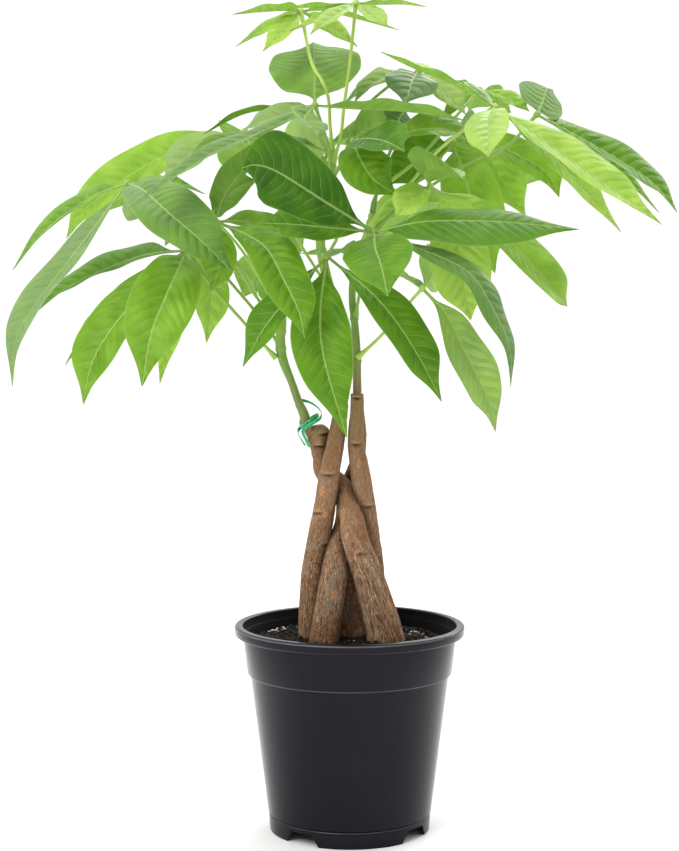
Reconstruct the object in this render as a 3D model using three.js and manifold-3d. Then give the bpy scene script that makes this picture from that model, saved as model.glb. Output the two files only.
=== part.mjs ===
// A young money tree in a plain nursery pot: five woody stems wind round each other, and
// green shoots grow on from them with palmate leaves.
// Millimetres, +Z up, the front towards -Y. The origin is the middle of the pot's foot.
import * as THREE from "three";
import * as BufferGeometryUtils from "three/addons/utils/BufferGeometryUtils.js";
import Module from "manifold-3d";

const wasm = await Module();
wasm.setup();

// Driving dimensions of the pot
const RIM_R = 77;
const POT_H = 138;
const FOOT_R = 54.3;
const FOOT_H = 11;
const WALL = 1.4;
const COLLAR_R = 71;
const COLLAR_BOTTOM_R = 68.5;
const COLLAR_BOTTOM_Z = 105.8;
const BODY_TOP_R = 66.5;
const FLOOR_Z = 9.6;
const POT_SEGMENTS = 36;

const LIP_H = 7;
const SEAT_DEPTH = 6;
const GROOVE = 0.7;
const NOTCHES = 4;
const NOTCH_WIDTH = 26;
const NOTCH_TOP_WIDTH = 18;
const NOTCH_H = 8;
const NOTCH_ANGLE = 53.7;
const DRAIN_HOLE_R = 4;
const DRAIN_CIRCLE_R = 36;
const DRAIN_HOLES = 6;

// The soil, and the air between pieces that touch
const SOIL_Z = 127;
const SOIL_MOUND = 1.6;
const SOIL_BUMP = 0.8;
const SOIL_SEGMENTS = 20;
const GAP = 0.3;

// Stems
const TRUNK_SIDES = 12;
const TRUNK_ROUGHNESS = 0.035;
const SHOOT_SIDES = 10;

// Leaves: a blade is thickest at its midrib
const BLADE_T = 1.3;
const BLADE_FOLD = 14;
const BLADE_TIP_W = 1.2;
const BLADE_BASE_W = 2.4;
const STATIONS = [0, 0.12, 0.32, 0.56, 0.8, 1];
const SHORT_STATIONS = [0, 0.15, 0.4, 0.72, 1];
const SHORT_LEAFLET = 68;
const STALK_R = 1.55;
const STALK_FOOT_R = 2.3;
const STALK_END_R = 1.8;
const STALK_SIDES = 5;
const STALK_RING_STEP = 25;
const KNOB_R = 2.5;

// The twist tie's wire
const TIE_R = 0.65;
const TIE_STEPS = 44;

// Stems and leaves are laid out as they look from the front. A point is [across, up, depth]:
// where its sight line from EYE meets the upright plane through the pot's axis, and how far
// behind that plane it lies.
const EYE = new THREE.Vector3(-6.8, -1200, 355);

function seen([across, up, depth]) {
  const onPlane = new THREE.Vector3(across, 0, up);
  return onPlane.sub(EYE).multiplyScalar(1 + depth / -EYE.y).add(EYE);
}

// Woody stems from the soil up: [across, up, depth, radius].
const TRUNKS = {
  trunk_1: [[-26, 95, 7, 9.5], [-25.7, 121, 6, 9], [-24.2, 167, 3, 8.7], [-20.6, 193, 0, 8.1],
    [-16.3, 219, -8, 7.1], [-13.2, 240, -9, 6.5], [-9.3, 261, -6, 5.8], [-6.3, 279, -3, 4.8],
    [-5.7, 288, -2, 4.4]],
  trunk_2: [[-19, 95, -13, 10], [-17.5, 124, -12, 9.8], [-14.5, 145, -12, 9.5],
    [-9.7, 174, -10, 8.9], [-7, 190, -4, 7.8], [-3, 206, 6, 7], [-1.6, 227, 14, 6.2],
    [5, 247, 11, 4.6], [7, 264, 7, 4], [6, 280, 4, 3.6], [5, 291, 2, 3.4]],
  trunk_3: [[2, 95, 9, 10.5], [2, 124, 9, 10], [-1, 154, 11, 8.5], [-2, 182, 16, 7],
    [-1, 207, 22, 6], [0, 227, 28, 5], [2, 238, 29, 4.4]],
  trunk_4: [[27, 95, -8, 13], [24.3, 127, -10, 12.5], [13.6, 167, -14, 9.9], [4, 194, -14, 8.9],
    [0.8, 212, -9, 8], [-5.5, 229, 3, 7.6], [-16.5, 240, 6, 6.8], [-19, 250, 4, 5.5],
    [-19.9, 257, 3, 6.2], [-20.2, 263, 2, 7], [-20.6, 268, 1.5, 6], [-20.9, 271, 1, 3.2]],
  trunk_5: [[20, 95, 17, 9.5], [19, 127, 16, 9], [17.5, 154, 13, 8], [16, 173, 8, 7.4],
    [13.8, 190, 2, 7.2], [11.4, 209, -3, 7.1], [7.2, 239, -5, 6.5], [4, 259, -6, 5.3],
    [4.8, 279, -8, 4.6], [5, 292, -9, 4.2]],
};

// Green shoots that grow on from the woody stems: [across, up, depth, radius].
const SHOOTS = {
  shoot_1: [[-5.8, 288.5, -2, 3.9], [-7.7, 320, 0, 3.5], [-11.7, 354, 1, 3.3], [-19, 387, 1, 3.2],
    [-18, 408, 0, 3.1], [-13, 437, 0, 3], [-10.5, 452, 0, 2.8]],
  shoot_2: [[-23.5, 261, 1.5, 3.2], [-28.2, 270.5, 0, 3.6], [-30.5, 278.7, 0, 3.3],
    [-34.2, 287.3, -1, 2.7], [-39, 301, -2, 2.6], [-44, 314, -3, 3.1], [-46, 326, -2, 3.4],
    [-45, 337, 0, 3], [-43.5, 345, 1, 1.8]],
  shoot_3: [[5, 292, 2, 3], [4.6, 321, 0, 2.6], [3, 341, 0, 2.5], [1.7, 354, 0, 2.4],
    [2, 366, 0, 2.4], [5, 381, 0, 2.4], [11, 397, 0, 2.4], [15.5, 412, 0, 2.3]],
};

// Compound leaves. stalk runs from the shoot to the point where the leaflets meet. A leaflet is
// [points after that one, width, turn]: turn 0 shows its upper face to the front, 90 turns that
// face up and 180 away. A fourth value is the leaflet's own fold in degrees. tone goes from old
// dark green, 0, to young yellow green, 1.
const LEAVES = {
  leaf_01: {
    tone: 0.45,
    stalk: [[-18, 410, 0], [-8, 399, -35], [-15, 383, -62]],
    leaflets: [
      [[[-19.5, 347, -78], [-17, 315, -85], [-2, 263, -82]], 38, 5],
      [[[19, 354, -84], [43, 321, -94], [61, 287, -92]], 32, 40],
      [[[-40, 356, -62], [-57, 335, -60], [-71, 310, -54]], 30, 48],
      [[[-21, 385, -42], [-26, 385, -22], [-31, 385, -6]], 15, 66],
      [[[-7, 386, -40], [-5, 388, -20], [-4, 385, -4]], 20, 100],
    ],
  },
  leaf_02: {
    tone: 0.1,
    stalk: [[4, 344, -2], [8, 367, -35], [16, 399, -72]],
    leaflets: [
      [[[-15, 418, -98], [-47, 438, -122], [-62, 443, -134], [-69, 436, -141]], 45, 14],
      [[[-16, 402, -84], [-38, 404, -90], [-60, 405, -94]], 28, 40],
      [[[50, 406, -87], [99, 406, -89], [151, 401, -80]], 40, 55, -12],
      [[[44, 389, -90], [78, 373, -100], [94, 350, -100], [106, 324, -92],
        [107, 297, -84]], 30, 60, 0],
      [[[17, 388, -108], [21, 376, -141], [25, 357, -168]], 42, 0],
    ],
  },
  leaf_03: {
    tone: 0.5,
    stalk: [[-44, 341, -4], [-60, 354, -15], [-72, 374, -28], [-89, 406, -40]],
    leaflets: [
      [[[-70, 398, -62], [-55, 388, -84], [-44, 368, -98], [-34, 347, -104],
        [-30, 329, -104]], 31, 28],
      [[[-69, 406, -40], [-51, 402, -36], [-38, 392, -32]], 24, 60],
      [[[-83, 423, -50], [-72, 438, -66], [-59, 452, -76], [-41, 463, -80]], 34, 113],
      [[[-86, 391, -42], [-86, 376, -44], [-92, 360, -44]], 24, 20],
      [[[-76, 378, -16], [-67, 364, -4], [-59, 351, 2]], 20, 94],
    ],
  },
  leaf_04: {
    tone: 0.25,
    stalk: [[-46, 324, 0], [-62, 346, 14], [-78, 365, 22], [-105, 397, 24], [-147, 431, 10]],
    leaflets: [
      [[[-137, 427, -25], [-119, 411, -60], [-98, 393, -74], [-77, 372, -72]], 40, 28],
      [[[-164, 408, 4], [-184, 382, 0], [-206, 354, -8], [-221, 328, -14],
        [-224, 297, -12]], 33, 60],
      [[[-166, 424, 22], [-184, 413, 32], [-206, 395, 38], [-223, 374, 40]], 28, 74],
      [[[-144, 423, -6], [-140, 416, -22], [-137, 408, -40]], 24, 160],
      [[[-128, 431, 20], [-112, 430, 28], [-95, 424, 38]], 22, 76],
    ],
  },
  leaf_05: {
    tone: 0.4,
    stalk: [[-13, 434, 0], [-13, 450, -13], [-17, 465, -18], [-23, 482, -24]],
    leaflets: [
      [[[-23, 497, -8], [-23.5, 513, 14], [-24, 522.5, 46], [-24, 519, 84]], 62, 177],
      [[[-51, 467, -38], [-95, 448, -64], [-146, 415, -92]], 24, 72],
      [[[-44, 480, 3], [-69, 477, 16], [-97, 463, 22]], 20, 96],
      [[[-39, 477, -15], [-55, 472, -16], [-70, 466, -14]], 24, 62],
      [[[-30, 474, -40], [-26, 468, -56], [-20, 461, -66]], 26, 35],
      [[[7, 480, -28], [40, 478, -26], [76, 472, -12]], 28, 102],
    ],
  },
  leaf_06: {
    tone: 0.85,
    stalk: [[13, 402, -3], [22, 417, -7], [37, 428, -10], [60, 454, -12], [95, 481, -20]],
    leaflets: [
      [[[128, 459, -38], [167, 432, -52], [206, 404, -58]], 34, 58],
      [[[125, 458, -20], [147, 436, -24], [179, 399, -18]], 30, 52],
      [[[91, 474, -55], [91, 461, -80], [91, 448, -96]], 28, 20],
      [[[66, 497, -40], [43, 506, -48], [20, 517, -52]], 30, 90],
      [[[87, 487, -6], [78, 494, 2], [68, 499, 10]], 16, 78],
    ],
  },
  leaf_07: {
    tone: 0.6,
    stalk: [[14, 407, 0], [18, 424, 16], [45, 447, 36], [70, 475, 56], [85, 492, 66]],
    leaflets: [
      [[[92, 487, 76], [99, 483, 86], [106, 477, 94]], 22, 42],
      [[[99, 488, 62], [109, 483, 56], [118, 478, 52]], 18, 60],
      [[[79, 487, 78], [71, 480, 88], [63, 474, 96]], 30, 100],
      [[[84, 490, 96], [81, 486, 126], [78, 479, 150]], 32, 180],
    ],
  },
  leaf_08: {
    tone: 0.5,
    stalk: [[10, 394, 1], [24, 408, 6], [53, 429, 10], [80, 445, 14], [103, 455, 14],
      [123, 476, 10]],
    leaflets: [
      [[[126, 483, 26], [129, 492, 50], [133, 492, 78]], 36, 177],
      [[[151, 461, 20], [179, 445, 32], [201, 430, 38], [216, 412, 38]], 32, 64],
      [[[145, 463, 40], [173, 443, 58], [204, 412, 66]], 24, 64],
    ],
  },
  leaf_09: {
    tone: 0.6,
    stalk: [[8, 386, -4], [30, 402, -20], [47, 417, -36], [53, 429, -45]],
    leaflets: [
      [[[76, 415, -48], [110, 388, -44], [136, 360, -40], [144, 350, -36]], 36, 55],
      [[[69, 410, -60], [72, 384, -62], [76, 361, -60], [80, 341, -56]], 38, 5],
      [[[50, 438, -60], [60, 442, -85], [75, 434, -112]], 34, 130],
      [[[45, 425, -52], [37, 417, -56], [30, 409, -57]], 22, 30],
    ],
  },
  leaf_10: {
    tone: 0.25,
    stalk: [[15, 412, 0], [19, 430, 3], [24, 445, 6], [30, 461, 12]],
    leaflets: [
      [[[32, 472, 30], [36, 478, 52], [38, 474, 78]], 32, 180],
      [[[19, 465, 22], [8, 463, 28], [-3, 457, 28]], 26, 60],
      [[[46, 466, 18], [64, 466, 24], [82, 458, 26]], 30, 60],
    ],
  },
  leaf_11: {
    tone: 0.3,
    stalk: [[-14, 428, 0], [-5, 446, -16], [2, 459, -22]],
    leaflets: [
      [[[12, 460, -45], [24, 458, -72], [36, 452, -95]], 34, 50],
      [[[9, 466, -10], [18, 470, 2], [27, 469, 14]], 26, 150],
      [[[6, 448, -36], [15, 434, -46], [31, 423, -48]], 34, 25],
    ],
  },
  leaf_12: {
    tone: 0.4,
    stalk: [[5, 316, -2], [21, 331, -8], [39, 352, -18], [48, 362, -25]],
    leaflets: [
      [[[64, 344, -30], [74, 324, -32], [84, 305, -30], [92, 287, -26], [97, 267, -22]], 30, 30],
      [[[39, 368, -4], [26, 373, 20], [12, 369, 44]], 30, 110],
      [[[54, 371, -4], [61, 380, 22], [66, 378, 50]], 30, 160],
    ],
  },
  leaf_13: {
    tone: 0.4,
    stalk: [[-49, 316, -4], [-68, 337, -10], [-94, 367, -16], [-108, 387, -15]],
    leaflets: [
      [[[-113, 376, -34], [-122, 356, -50], [-132, 331, -58], [-138, 297, -54]], 42, 5],
      [[[-134, 362, -12], [-157, 336, -20], [-171, 312, -22], [-177, 285, -18]], 38, 40],
      [[[-115, 367, 14], [-119, 340, 26], [-126, 299, 26]], 26, 20],
      [[[-97, 374, -8], [-92, 354, -6], [-95, 326, 2]], 25, 10],
      [[[-132, 371, 14], [-155, 352, 22], [-173, 333, 26], [-189, 311, 26]], 22, 62],
      [[[-135, 384, 22], [-161, 375, 38], [-188, 362, 44], [-212, 343, 42]], 32, 68],
    ],
  },
  leaf_14: {
    tone: 0.4,
    stalk: [[-11, 350, 2], [-28, 362, 40], [-39, 374, 75], [-44, 379, 91]],
    leaflets: [
      [[[-46, 370, 107], [-47, 358, 116], [-49, 346, 114]], 34, 180],
      [[[-54, 375, 107], [-63, 368, 121], [-71, 356, 128]], 36, 150],
      [[[-42, 390, 96], [-40, 401, 102], [-41, 411, 105]], 32, 150],
      [[[-48, 382, 119], [-53, 379, 145], [-59, 370, 165]], 34, 180],
    ],
  },
  leaf_15: {
    tone: 0.65,
    stalk: [[-13, 360, 1], [-25, 379, 10], [-36, 397, 20], [-56, 436, 38], [-69, 465, 48]],
    leaflets: [
      [[[-93, 456, 64], [-123, 448, 80], [-151, 432, 84], [-174, 414, 80],
        [-187, 395, 72]], 37, 42],
      [[[-96, 455, 52], [-110, 446, 48], [-123, 433, 50]], 30, 42],
      [[[-71, 464, 80], [-73, 463, 110], [-75, 452, 140]], 34, 170],
      [[[-70, 454, 70], [-74, 446, 90], [-79, 435, 104]], 30, 155],
    ],
  },
  leaf_16: {
    tone: 0.4,
    stalk: [[-16, 422, 1], [-20, 436, 8], [-14, 452, 12]],
    leaflets: [
      [[[-33, 457, 14], [-60, 459, 22], [-87, 459, 16], [-109, 446, 4]], 24, 78],
      [[[-22, 461, 36], [-35, 459, 60], [-48, 447, 80]], 32, 170],
    ],
  },
  leaf_17: {
    tone: 0.45,
    stalk: [[-14, 430, 3], [-7, 441, 22], [-1, 457, 40], [8, 478, 52], [28, 496, 54],
      [45, 504, 45]],
    leaflets: [
      [[[28, 501, 38], [14, 495, 38], [3, 484, 36]], 30, 72],
      [[[24, 498, 60], [9, 492, 70], [-5, 482, 74]], 24, 78],
      [[[41, 498, 22], [39, 491, 10], [36, 483, 0]], 36, 12],
      [[[55, 496, 34], [66, 487, 28], [76, 476, 26]], 24, 48],
      [[[44, 500, 74], [43, 494, 102], [42, 487, 128]], 32, 180],
    ],
  },
  leaf_18: {
    tone: 0.95,
    stalk: [[-11, 450, 2], [-13, 469, -6], [-13.5, 481, -13], [-15, 490, -19], [-18.5, 498, -21],
      [-25.5, 511, -12], [-32, 543, 15]],
    leaflets: [
      [[[-41, 544, 8], [-58, 543, -4], [-77, 541, -16]], 20, 102],
      [[[-42, 538, 26], [-58, 530, 38], [-75, 520, 48]], 13, 60],
      [[[-39, 536, 2], [-46, 528, -8], [-57, 517, -16]], 17, 38],
      [[[-21, 537, 22], [-9, 531, 32], [5, 520, 42]], 14, 38],
      [[[-18, 544, 12], [7, 538, 10], [32, 531, 8]], 14, 98],
    ],
  },
  leaf_19: {
    tone: 0.8,
    stalk: [[-11, 444, -1], [-6, 462, -6], [-4, 480, -11], [0, 510, -17], [4, 548.2, -14]],
    leaflets: [
      [[[18, 548, -20], [35, 548, -28], [50, 546, -36]], 13, 96],
      [[[11, 544, -26], [18, 538, -40], [25, 533, -50]], 14, 42],
      [[[-4, 544, -28], [-15, 537, -42], [-26, 528, -54]], 13, 50],
      [[[-6, 545, -14], [-22, 537, -18], [-40, 530, -24]], 13, 72],
      [[[-8, 546, -10], [-25, 546, -12], [-43, 545, -14]], 12, 100],
    ],
  },
  leaf_20: {
    tone: 0.55,
    stalk: [[8, 388, 1], [28, 412, 28], [50, 438, 46], [68, 457, 55]],
    leaflets: [
      [[[55, 452, 62], [40, 443, 70], [20, 429, 74]], 34, 25],
      [[[90, 447, 64], [102, 430, 68], [116, 409, 64]], 34, 30],
      [[[73, 444, 44], [80, 421, 34], [88, 397, 30], [96, 372, 30]], 40, 5],
      [[[70, 463, 85], [74, 462, 115], [78, 448, 145]], 36, 180],
      [[[91, 457, 46], [113, 448, 40], [130, 437, 34], [138, 422, 30]], 30, 48],
    ],
  },
  leaf_21: {
    tone: 0.4,
    stalk: [[-45, 336, 3], [-50, 352, 36], [-72, 388, 76], [-92, 410, 97]],
    leaflets: [
      [[[-114, 422, 108], [-138, 426, 122], [-160, 413, 128]], 36, 120],
      [[[-102, 418, 126], [-112, 412, 151], [-122, 390, 169]], 36, 160],
      [[[-94, 394, 112], [-96, 366, 122], [-97, 340, 122]], 36, 180],
      [[[-86, 418, 106], [-75, 428, 115], [-61, 433, 118]], 32, 140],
    ],
  },
  leaf_22: {
    tone: 0.45,
    stalk: [[4.5, 378, 1], [25, 400, 42], [50, 414, 80], [68, 420, 102]],
    leaflets: [
      [[[90, 431, 118], [110, 437, 131], [130, 434, 139]], 34, 140],
      [[[74, 427, 130], [78, 425, 155], [82, 406, 172]], 36, 180],
      [[[70, 405, 116], [72, 378, 122], [74, 352, 119]], 36, 180],
      [[[48, 418, 118], [27, 408, 126], [10, 390, 126]], 34, 150],
    ],
  },
  leaf_23: {
    tone: 0.4,
    stalk: [[-16, 414, 3], [-11, 431, 36], [-13, 446, 68], [-18, 455, 86]],
    leaflets: [
      [[[-38, 450, 110], [-48, 442, 133], [-54, 424, 151]], 34, 130],
      [[[2, 462, 101], [24, 462, 113], [46, 452, 121]], 34, 130],
      [[[-22, 464, 117], [-24, 462, 144], [-26, 446, 166]], 36, 180],
      [[[-22, 438, 101], [-25, 421, 108], [-26, 406, 110]], 32, 180],
    ],
  },
};

// The twist tie goes twice round the foot of shoot_2, [across, up, depth].
const TIE = [[-26.8, 256.8, -5.5], [-29.2, 261.8, -6], [-31.2, 266.5, -6], [-29.5, 269.6, -6.2],
  [-26, 271.8, -6.4], [-22.5, 274, -6], [-19.6, 276, -3.5], [-18.8, 278.8, 0.5],
  [-20.5, 282.2, 3.5], [-24.3, 285.3, 4.6], [-29, 287.3, 4.4], [-33.6, 287.6, 3.9],
  [-35.2, 284.8, 3.6], [-33.3, 281, 4.2], [-31.8, 277.3, 4.8], [-32.6, 273.6, 4.2],
  [-33.1, 271, 0.5], [-31, 271.2, -4.1], [-27.6, 273.4, -5.2], [-24, 275.8, -4.6],
  [-21, 277.8, -1.5], [-21.5, 278.3, 3], [-25, 276.3, 6], [-29.5, 272.5, 7],
  [-33.8, 268.5, 4.5], [-34.2, 265.5, 0], [-32.4, 262, -3.2], [-29.6, 257.8, -4.2]];

function curveOf(points) {
  return new THREE.CatmullRomCurve3(points.map(seen), false, "catmullrom", 0.5);
}

// A closed solid through rings of points that all have the same count. mirrored lists the
// sides whose quads are split along the other diagonal.
function loft(rings, mirrored = []) {
  const count = rings[0].length;
  const index = [];
  const at = (ring, k) => ring * count + (k % count);
  for (let ring = 0; ring < rings.length - 1; ring++) {
    for (let k = 0; k < count; k++) {
      const [a, b] = [at(ring, k), at(ring, k + 1)];
      const [c, d] = [at(ring + 1, k + 1), at(ring + 1, k)];
      if (mirrored.includes(k)) index.push(a, b, d, b, c, d);
      else index.push(a, b, c, a, c, d);
    }
  }
  for (let k = 1; k < count - 1; k++) {
    index.push(at(0, 0), at(0, k + 1), at(0, k));
    index.push(at(rings.length - 1, 0), at(rings.length - 1, k), at(rings.length - 1, k + 1));
  }
  const geometry = new THREE.BufferGeometry();
  const xyz = rings.flat().flatMap((p) => [p.x, p.y, p.z]);
  geometry.setAttribute("position", new THREE.Float32BufferAttribute(xyz, 3));
  geometry.setIndex(index);
  if (volumeOf(geometry) < 0) geometry.setIndex(index.reverse());
  return geometry;
}

function volumeOf(geometry) {
  const position = geometry.getAttribute("position");
  const corner = [0, 1, 2].map(() => new THREE.Vector3());
  let sum = 0;
  for (let i = 0; i < geometry.index.count; i += 3) {
    corner.forEach((v, k) => v.fromBufferAttribute(position, geometry.index.getX(i + k)));
    sum += corner[0].dot(corner[1].clone().cross(corner[2])) / 6;
  }
  return sum;
}

function solidOf(geometry) {
  const bare = geometry.clone();
  bare.deleteAttribute("normal");
  bare.deleteAttribute("uv");
  const merged = BufferGeometryUtils.mergeVertices(bare, 1e-4);
  return new wasm.Manifold(new wasm.Mesh({
    numProp: 3,
    vertProperties: Float32Array.from(merged.getAttribute("position").array),
    triVerts: Uint32Array.from(merged.index.array),
  }));
}

function geometryOf(solid) {
  const whole = solid.decompose().sort((a, b) => b.volume() - a.volume())[0];
  const mesh = whole.getMesh();
  const geometry = new THREE.BufferGeometry();
  const position = new THREE.BufferAttribute(Float32Array.from(mesh.vertProperties), 3);
  geometry.setAttribute("position", position);
  geometry.setIndex(Array.from(mesh.triVerts));
  const flat = geometry.toNonIndexed();
  flat.computeVertexNormals();
  return flat;
}

const plant = new THREE.Group();

function add(name, solid, material) {
  const mesh = new THREE.Mesh(geometryOf(solid), new THREE.MeshStandardMaterial(material));
  mesh.name = name;
  plant.add(mesh);
}

// A round stem through [across, up, depth, radius] points, swollen by extra. rough is the
// height of its low bumps as a share of the radius.
function stemSolid(points, sides, rings, extra = 0, rough = 0) {
  const curve = curveOf(points);
  const frames = curve.computeFrenetFrames(rings, false);
  const loops = [];
  for (let ring = 0; ring <= rings; ring++) {
    const u = (ring / rings) * (points.length - 1);
    const k = Math.min(Math.floor(u), points.length - 2);
    const radius = THREE.MathUtils.lerp(points[k][3], points[k + 1][3], u - k) + extra;
    const centre = curve.getPoint(ring / rings);
    const swell = rough * Math.sin(1.1 * ring + points[0][0]);
    const loop = [];
    for (let side = 0; side < sides; side++) {
      const angle = (side / sides) * 2 * Math.PI;
      const reach = radius * (1 + swell * Math.sin(3 * angle + 1.7 * ring));
      const offset = frames.normals[ring].clone().multiplyScalar(Math.cos(angle) * reach);
      offset.addScaledVector(frames.binormals[ring], Math.sin(angle) * reach);
      loop.push(centre.clone().add(offset));
    }
    loops.push(loop);
  }
  return solidOf(loft(loops));
}

// The share of its full width that a leaflet has at s, 0 at the stalk and 1 at the tip.
function leafWidth(s) {
  const pinch = THREE.MathUtils.smoothstep(s, 0, 0.25);
  return 4.25 * s ** 1.15 * (1 - s) ** 0.95 * pinch;
}

// One leaflet: a thin blade folded a little along its midrib, which keeps its upper face
// towards one side while the midrib arches.
function bladeSolid(hub, [points, width, turn, fold = BLADE_FOLD]) {
  const curve = curveOf([hub, ...points]);
  const start = curve.getPoint(0);
  const chord = curve.getPoint(1).sub(start).normalize();
  const front = EYE.clone().sub(start).normalize();
  front.addScaledVector(chord, -front.dot(chord)).normalize();
  const upward = chord.clone().cross(front).multiplyScalar(chord.x > 0 ? -1 : 1);
  const angle = THREE.MathUtils.degToRad(turn);
  const face = front.multiplyScalar(Math.cos(angle)).addScaledVector(upward, Math.sin(angle));
  const loops = [];
  for (const s of curve.getLength() < SHORT_LEAFLET ? SHORT_STATIONS : STATIONS) {
    const centre = curve.getPoint(s);
    const tangent = curve.getTangent(s);
    const normal = face.clone().addScaledVector(tangent, -face.dot(tangent)).normalize();
    const side = tangent.clone().cross(normal);
    const least = s > 0.5 ? BLADE_TIP_W : BLADE_BASE_W;
    const half = Math.max(width * leafWidth(s), least) / 2;
    const rise = half * Math.tan(THREE.MathUtils.degToRad(fold));
    const at = (across, lift) => centre.clone().addScaledVector(side, across)
      .addScaledVector(normal, lift);
    loops.push([at(0, 0), at(half, rise), at(0, -BLADE_T), at(-half, rise)]);
  }
  return solidOf(loft(loops, [1, 3]));
}

function leafSolid({ stalk, leaflets }) {
  const hub = stalk[stalk.length - 1];
  const rings = Math.round(2 + curveOf(stalk).getLength() / STALK_RING_STEP);
  const thick = stalk.map((point) => [...point, STALK_R]);
  thick[0][3] = STALK_FOOT_R;
  thick[thick.length - 1][3] = STALK_END_R;
  let leaf = stemSolid(thick, STALK_SIDES, rings);
  const knob = new THREE.OctahedronGeometry(KNOB_R, 1);
  knob.translate(...seen(hub).toArray());
  leaf = leaf.add(solidOf(knob));
  for (const leaflet of leaflets) {
    leaf = leaf.add(bladeSolid(hub, leaflet));
  }
  return leaf;
}

// The pot: foot, groove, tapered body, collar, rolled lip, a seat inside the lip, inner wall
const LIP_BOTTOM_Z = POT_H - LIP_H;
const SEAT_Z = POT_H - SEAT_DEPTH;
const POT_PROFILE = [
  [0, FLOOR_Z], [FOOT_R - WALL - 1, FLOOR_Z], [FOOT_R - WALL - 1.4, 0], [FOOT_R - 0.6, 0],
  [FOOT_R, FOOT_H - 0.8], [FOOT_R - GROOVE, FOOT_H], [FOOT_R + 0.4, FOOT_H + 1],
  [BODY_TOP_R, COLLAR_BOTTOM_Z - 0.6], [COLLAR_BOTTOM_R, COLLAR_BOTTOM_Z],
  [COLLAR_R + 0.8, LIP_BOTTOM_Z], [RIM_R - 1.4, LIP_BOTTOM_Z + 0.6],
  [RIM_R, POT_H - 3], [RIM_R - 1.4, POT_H],
  [COLLAR_R + 0.6, POT_H - 0.6], [COLLAR_R - 1.6, SEAT_Z],
  [COLLAR_BOTTOM_R - WALL, COLLAR_BOTTOM_Z + 1.4], [BODY_TOP_R - WALL, COLLAR_BOTTOM_Z - 1],
  [FOOT_R + 0.2 - WALL, FLOOR_Z + WALL], [0, FLOOR_Z + WALL],
];

function latheGeometry(profile, segments) {
  const lathe = new THREE.LatheGeometry(profile.map(([r, z]) => new THREE.Vector2(r, z)), segments);
  return lathe.rotateX(Math.PI / 2);
}

function notchSolid(angle) {
  const shape = new THREE.Shape();
  shape.moveTo(-NOTCH_WIDTH / 2, -1);
  shape.lineTo(NOTCH_WIDTH / 2, -1);
  shape.lineTo(NOTCH_TOP_WIDTH / 2, NOTCH_H);
  shape.lineTo(-NOTCH_TOP_WIDTH / 2, NOTCH_H);
  shape.closePath();
  const cut = new THREE.ExtrudeGeometry(shape, { depth: FOOT_R / 2, bevelEnabled: false });
  cut.rotateX(Math.PI / 2);
  cut.translate(0, -FOOT_R / 1.4, 0);
  cut.rotateZ(angle);
  return solidOf(cut);
}

function drainHoleSolid(angle) {
  const hole = new THREE.CylinderGeometry(DRAIN_HOLE_R, DRAIN_HOLE_R, 3 * WALL, 10);
  hole.rotateX(Math.PI / 2);
  const x = DRAIN_CIRCLE_R * Math.cos(angle);
  const y = DRAIN_CIRCLE_R * Math.sin(angle);
  hole.translate(x, y, FLOOR_Z + WALL / 2);
  return solidOf(hole);
}

let pot = solidOf(latheGeometry(POT_PROFILE, POT_SEGMENTS));
for (let k = 0; k < NOTCHES; k++) {
  const turn = THREE.MathUtils.degToRad(NOTCH_ANGLE) + (k / NOTCHES) * 2 * Math.PI;
  pot = pot.subtract(notchSolid(turn));
}
for (let k = 0; k < DRAIN_HOLES; k++) {
  pot = pot.subtract(drainHoleSolid((k / DRAIN_HOLES) * 2 * Math.PI));
}
add("pot", pot, { color: 0x2d2c30, roughness: 0.42, metalness: 0 });

// Woody stems: each one is pressed against the ones before it
const swollen = [];
for (const [name, points] of Object.entries(TRUNKS)) {
  let stem = stemSolid(points, TRUNK_SIDES, 2 * points.length, 0, TRUNK_ROUGHNESS);
  for (const neighbour of swollen) {
    stem = stem.subtract(neighbour);
  }
  swollen.push(stemSolid(points, TRUNK_SIDES, 2 * points.length, GAP, TRUNK_ROUGHNESS));
  add(name, stem, { color: 0x86694a, roughness: 0.85, metalness: 0 });
}

// Soil: it fills the pot to the seat under the lip, with an uneven top
const soilTopR = COLLAR_BOTTOM_R - WALL + 1.8;
const soilProfile = [
  [0, FLOOR_Z + WALL + GAP], [FOOT_R - 0.1 - WALL - GAP, FLOOR_Z + WALL + GAP],
  [BODY_TOP_R - WALL - GAP, COLLAR_BOTTOM_Z - 1], [soilTopR - 2.1, COLLAR_BOTTOM_Z + 2],
  [soilTopR - 0.6, SOIL_Z - 2.5], [soilTopR - 3, SOIL_Z - 0.8], [50, SOIL_Z],
  [30, SOIL_Z + SOIL_MOUND], [0, SOIL_Z + SOIL_MOUND],
];
const soilLathe = latheGeometry(soilProfile, SOIL_SEGMENTS);
const soilPosition = soilLathe.getAttribute("position");
for (let i = 0; i < soilPosition.count; i++) {
  const [x, y, z] = [soilPosition.getX(i), soilPosition.getY(i), soilPosition.getZ(i)];
  if (z > SOIL_Z - 1) {
    const bump = Math.sin(0.31 * x + 1.3) * Math.cos(0.27 * y) + 0.6 * Math.sin(0.25 * x - 0.47 * y);
    soilPosition.setZ(i, z + SOIL_BUMP * bump);
  }
}
let soil = solidOf(soilLathe);
for (const stem of swollen) {
  soil = soil.subtract(stem);
}
add("soil", soil, { color: 0x241c17, roughness: 0.95, metalness: 0 });

// Green shoots
const shootWraps = [];
for (const [name, points] of Object.entries(SHOOTS)) {
  let shoot = stemSolid(points, SHOOT_SIDES, 2 * points.length);
  for (const neighbour of swollen) {
    shoot = shoot.subtract(neighbour);
  }
  shootWraps.push(stemSolid(points, SHOOT_SIDES, 2 * points.length, GAP));
  add(name, shoot, { color: 0x6f8a3a, roughness: 0.55, metalness: 0 });
}

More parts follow.
